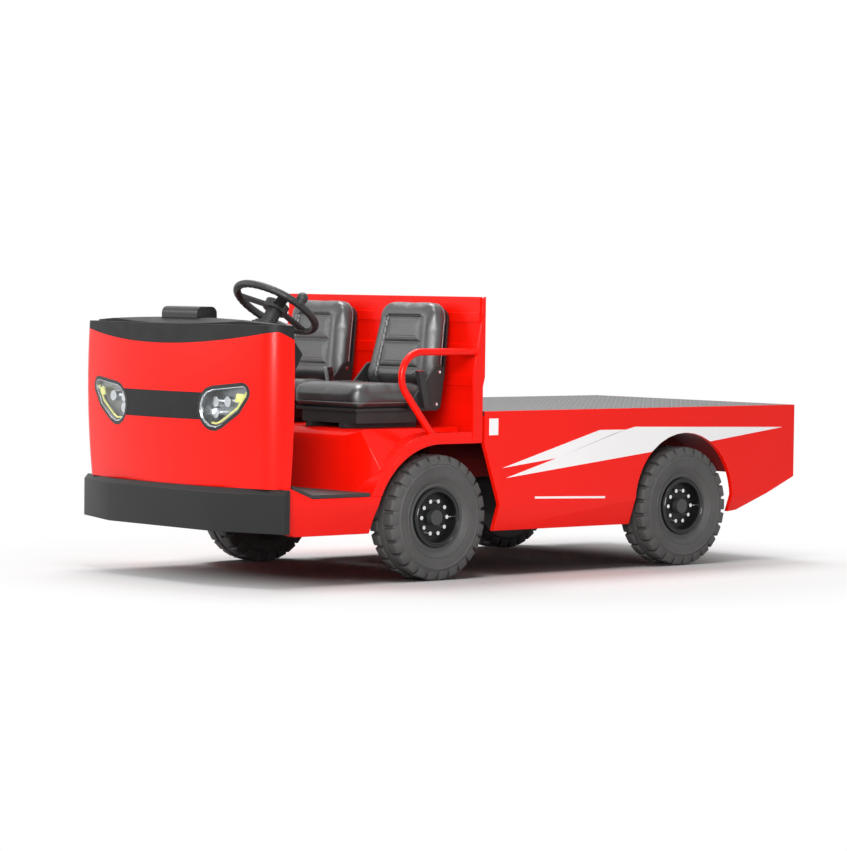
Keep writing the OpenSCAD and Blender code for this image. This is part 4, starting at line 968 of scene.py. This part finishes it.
class TRUCK_OT_fittings(bpy.types.Operator):
    """Dress the recliners and buckles, add the bolt heads, the steering wheel's grip and its knob"""

    bl_idname = "truck.fittings"
    bl_label = "Fittings"

    def execute(self, context):
        edge = context.scene.truck_sizes.edge
        dressed("recliner_brackets", "black_plastic", edge * 0.5)
        buckles = dressed("belt_buckles", "black_plastic button_red bright_steel", edge * 0.5)
        top = max(v.co.z for v in buckles.data.vertices)
        dye(buckles, 1, lambda p: p.z > top - BUTTON_T)
        dye(buckles, 2, lambda p: p.y < 0.0)
        self.bolts()
        for piece in (self.grip(), self.knob()):
            smooth(piece, 40.0)
            finish_piece(piece, ["black_plastic"], NODE_BODY["steering_wheel"])
        return {"FINISHED"}

    def on_wheel(self, name, place):
        """Sets a piece made about the origin at a place in the leaning steering wheel's plane."""
        lean = Matrix.Rotation(-WHEEL_LEAN, 3, "Y")
        piece = bpy.context.object
        piece.rotation_euler = lean.to_euler()
        piece.location = Vector(WHEEL_HUB) + lean @ Vector(place)
        return named(name)

    def grip(self):
        """The wheel's grip with finger ripples round its underside."""
        deselect()
        bpy.ops.mesh.primitive_torus_add(major_segments=4 * GRIP_RIPPLES, minor_segments=18,
                                         major_radius=GRIP_RING_R, minor_radius=GRIP_R)
        ring = bpy.context.object
        pitch = math.tau / GRIP_RIPPLES

        def in_ripple(point):
            turn = math.atan2(point.y, point.x) % pitch
            return point.z < GRIP_R * RIPPLE_SHARE and turn < pitch * RIPPLE_SHARE

        pushed(ring, [in_ripple(vertex.co) for vertex in ring.data.vertices], GRIP_DIP)
        return self.on_wheel("wheel_grip", ORIGIN)

    def knob(self):
        """The spinner knob: a ball drawn down into a neck."""
        deselect()
        bpy.ops.mesh.primitive_uv_sphere_add(segments=28, ring_count=16, radius=KNOB_R)
        edit_faces(bpy.context.object, lambda normal: normal.z < -NECK_FACING)
        extruded((0.0, 0.0, -KNOB_R / 2))
        done()
        ring = (GRIP_RING_R * math.cos(KNOB_TURN), GRIP_RING_R * math.sin(KNOB_TURN), KNOB_RISE)
        return self.on_wheel("spinner_knob", ring)

    def bolts(self):
        """One bolt head for the recliners, copied to each of its places."""
        deselect()
        bpy.ops.mesh.primitive_cylinder_add(vertices=12, radius=BOLT_R, depth=BOLT_T,
                                            rotation=(math.pi / 2, 0.0, 0.0))
        head = named("bracket_bolt")
        edit_faces(head, lambda normal: abs(normal.y) > END_FACING)
        bpy.ops.mesh.inset(thickness=BOLT_RIM)
        bpy.ops.transform.resize(value=(1.0, BOLT_FACE_SHARE, 1.0), center_override=ORIGIN)
        done()
        bevelled(head, BOLT_EDGE)
        heads = []
        for seat in (1, -1):
            for edge in (1, -1):
                for dx, dz in BRACKET_BOLTS:
                    place = (PAN_X + dx, seat * SEAT_Y + edge * BRACKET_Y, PAN_Z + dz)
                    heads.append(copied(head, "bracket_bolts", place))
        bpy.data.objects.remove(head)
        bolts = joined(*heads)
        smooth(bolts)
        finish_piece(bolts, ["bright_steel"], NODE_BODY["recliner_brackets"])


class TRUCK_OT_stage(bpy.types.Operator):
    """Set the floor, the lights, the world and the camera"""

    bl_idname = "truck.stage"
    bl_label = "Stage"

    def execute(self, context):
        scene = context.scene
        scene.view_settings.view_transform = "Standard"
        deselect()
        bpy.ops.mesh.primitive_plane_add(size=FLOOR_SIZE)
        floor = named("studio_floor")
        tree, bsdf = shader("floor_white", (0.9, 0.9, 0.9), 0.9, sheen=0.0)
        self.fade_to_white(tree, bsdf)
        floor.data.materials.append(FINISHES["floor_white"])
        self.light_world(scene)
        lamps = {name: self.add_light(name, *setting) for name, setting in STUDIO_LAMPS.items()}
        self.keep_off_floor(floor, lamps["key"], lamps["fill"])
        self.add_camera(scene)
        return {"FINISHED"}

    def fade_to_white(self, tree, bsdf):
        """Turns the far floor, seen straight, mirrored or through glass, into the backdrop's white."""
        reach = tree.nodes.new("ShaderNodeVectorMath")
        reach.operation = "LENGTH"
        tree.links.new(own_coords(tree), reach.inputs[0])
        span = tree.nodes.new("ShaderNodeMapRange")
        span.interpolation_type = "SMOOTHSTEP"
        put(span, {"From Min": FADE_FROM, "From Max": FADE_TO})
        tree.links.new(reach.outputs["Value"], span.inputs["Value"])
        white = tree.nodes.new("ShaderNodeEmission")
        put(white, {"Strength": 1.0})
        blend = tree.nodes.new("ShaderNodeMixShader")
        seen = maths(tree, "MULTIPLY", span.outputs["Result"], shown_rays(tree))
        tree.links.new(seen, blend.inputs["Fac"])
        tree.links.new(bsdf.outputs["BSDF"], blend.inputs[1])
        tree.links.new(white.outputs["Emission"], blend.inputs[2])
        tree.links.new(blend.outputs["Shader"], tree.nodes["Material Output"].inputs["Surface"])

    def light_world(self, scene):
        """A dim world that lights evenly and is seen as white."""
        world = bpy.data.worlds.new("studio")
        scene.world = world
        world.use_nodes = True
        tree = world.node_tree
        sky = tree.nodes["Background"]
        put(sky, {"Color": (1.0, 1.0, 1.0, 1.0), "Strength": WORLD_LEVEL})
        seen = tree.nodes.new("ShaderNodeBackground")
        put(seen, {"Color": (1.0, 1.0, 1.0, 1.0), "Strength": 1.0})
        pick = tree.nodes.new("ShaderNodeMixShader")
        tree.links.new(shown_rays(tree), pick.inputs["Fac"])
        tree.links.new(sky.outputs["Background"], pick.inputs[1])
        tree.links.new(seen.outputs["Background"], pick.inputs[2])
        tree.links.new(pick.outputs["Shader"], tree.nodes["World Output"].inputs["Surface"])

    def add_light(self, name, place, aim, size, power):
        """A round area lamp turned to its aim."""
        bpy.ops.object.light_add(type="AREA", location=place)
        lamp = bpy.context.object
        lamp.name = name
        lamp.data.shape = "DISK"
        lamp.data.size = size
        lamp.data.energy = power
        lamp.rotation_euler = (Vector(aim) - Vector(place)).to_track_quat("-Z", "Y").to_euler()
        return lamp

    def keep_off_floor(self, floor, *lamps):
        """Keeps the front lamps off the floor, so that the shadow under the truck stays deep."""
        spared = bpy.data.collections.new("spared_floor")
        spared.objects.link(floor)
        spared.collection_objects[0].light_linking.link_state = "EXCLUDE"
        for lamp in lamps:
            lamp.light_linking.receiver_collection = spared

    def add_camera(self, scene):
        """The camera fitted to the photograph, its off-centre frame as lens shift."""
        azimuth, pitch, roll = (math.radians(v) for v in (CAMERA_AZIMUTH, CAMERA_PITCH, CAMERA_ROLL))
        level = math.cos(pitch)
        look = Vector((-math.sin(azimuth) * level, -math.cos(azimuth) * level, -math.sin(pitch)))
        side = Vector((-math.cos(azimuth), math.sin(azimuth), 0.0))
        rise = side.cross(look)
        right = math.cos(roll) * side + math.sin(roll) * rise
        up = math.cos(roll) * rise - math.sin(roll) * side
        place = Vector(CAMERA_TARGET) - CAMERA_DISTANCE * look
        bpy.ops.object.camera_add()
        camera = bpy.context.object
        camera.name = "camera"
        camera.matrix_world = Matrix((
            (right.x, up.x, -look.x, place.x),
            (right.y, up.y, -look.y, place.y),
            (right.z, up.z, -look.z, place.z),
            (0.0, 0.0, 0.0, 1.0)))
        lens = camera.data
        lens.sensor_fit = "VERTICAL"
        lens.sensor_height = CAMERA_SENSOR_MM
        lens.lens = CAMERA_FOCAL_PX * CAMERA_SENSOR_MM / FRAME_H
        lens.shift_x = (FRAME_W / 2 - CAMERA_MIDDLE_PX[0]) / FRAME_H
        lens.shift_y = (CAMERA_MIDDLE_PX[1] - FRAME_H / 2) / FRAME_H
        lens.clip_end = CAMERA_REACH
        scene.camera = camera


class TRUCK_PT_panel(bpy.types.Panel):
    """Lists the truck's dressing steps"""

    bl_idname = "TRUCK_PT_panel"
    bl_label = "Platform truck"
    bl_space_type = "VIEW_3D"
    bl_region_type = "UI"
    bl_category = "Truck"

    def draw(self, context):
        layout = self.layout
        for name in TruckColours.__annotations__:
            layout.prop(context.scene.truck_colours, name)
        for name in TruckSizes.__annotations__:
            layout.prop(context.scene.truck_sizes, name)
        for step in STEPS:
            layout.operator(step.bl_idname)


STEPS = (
    TRUCK_OT_stage,
    TRUCK_OT_finishes,
    TRUCK_OT_panels,
    TRUCK_OT_wheels,
    TRUCK_OT_seats,
    TRUCK_OT_lamps,
    TRUCK_OT_stripes,
    TRUCK_OT_fittings,
)
CLASSES = (TruckColours, TruckSizes, *STEPS, TRUCK_PT_panel)


def register():
    for cls in CLASSES:
        bpy.utils.register_class(cls)
    bpy.types.Scene.truck_colours = bpy.props.PointerProperty(type=TruckColours)
    bpy.types.Scene.truck_sizes = bpy.props.PointerProperty(type=TruckSizes)


def unregister():
    del bpy.types.Scene.truck_sizes
    del bpy.types.Scene.truck_colours
    for cls in reversed(CLASSES):
        bpy.utils.unregister_class(cls)


def main():
    register()
    bpy.ops.truck.stage()
    bpy.ops.truck.finishes()
    bpy.ops.truck.panels()
    bpy.ops.truck.wheels()
    bpy.ops.truck.seats()
    bpy.ops.truck.lamps()
    bpy.ops.truck.stripes()
    bpy.ops.truck.fittings()


if __name__ == "__main__":
    main()
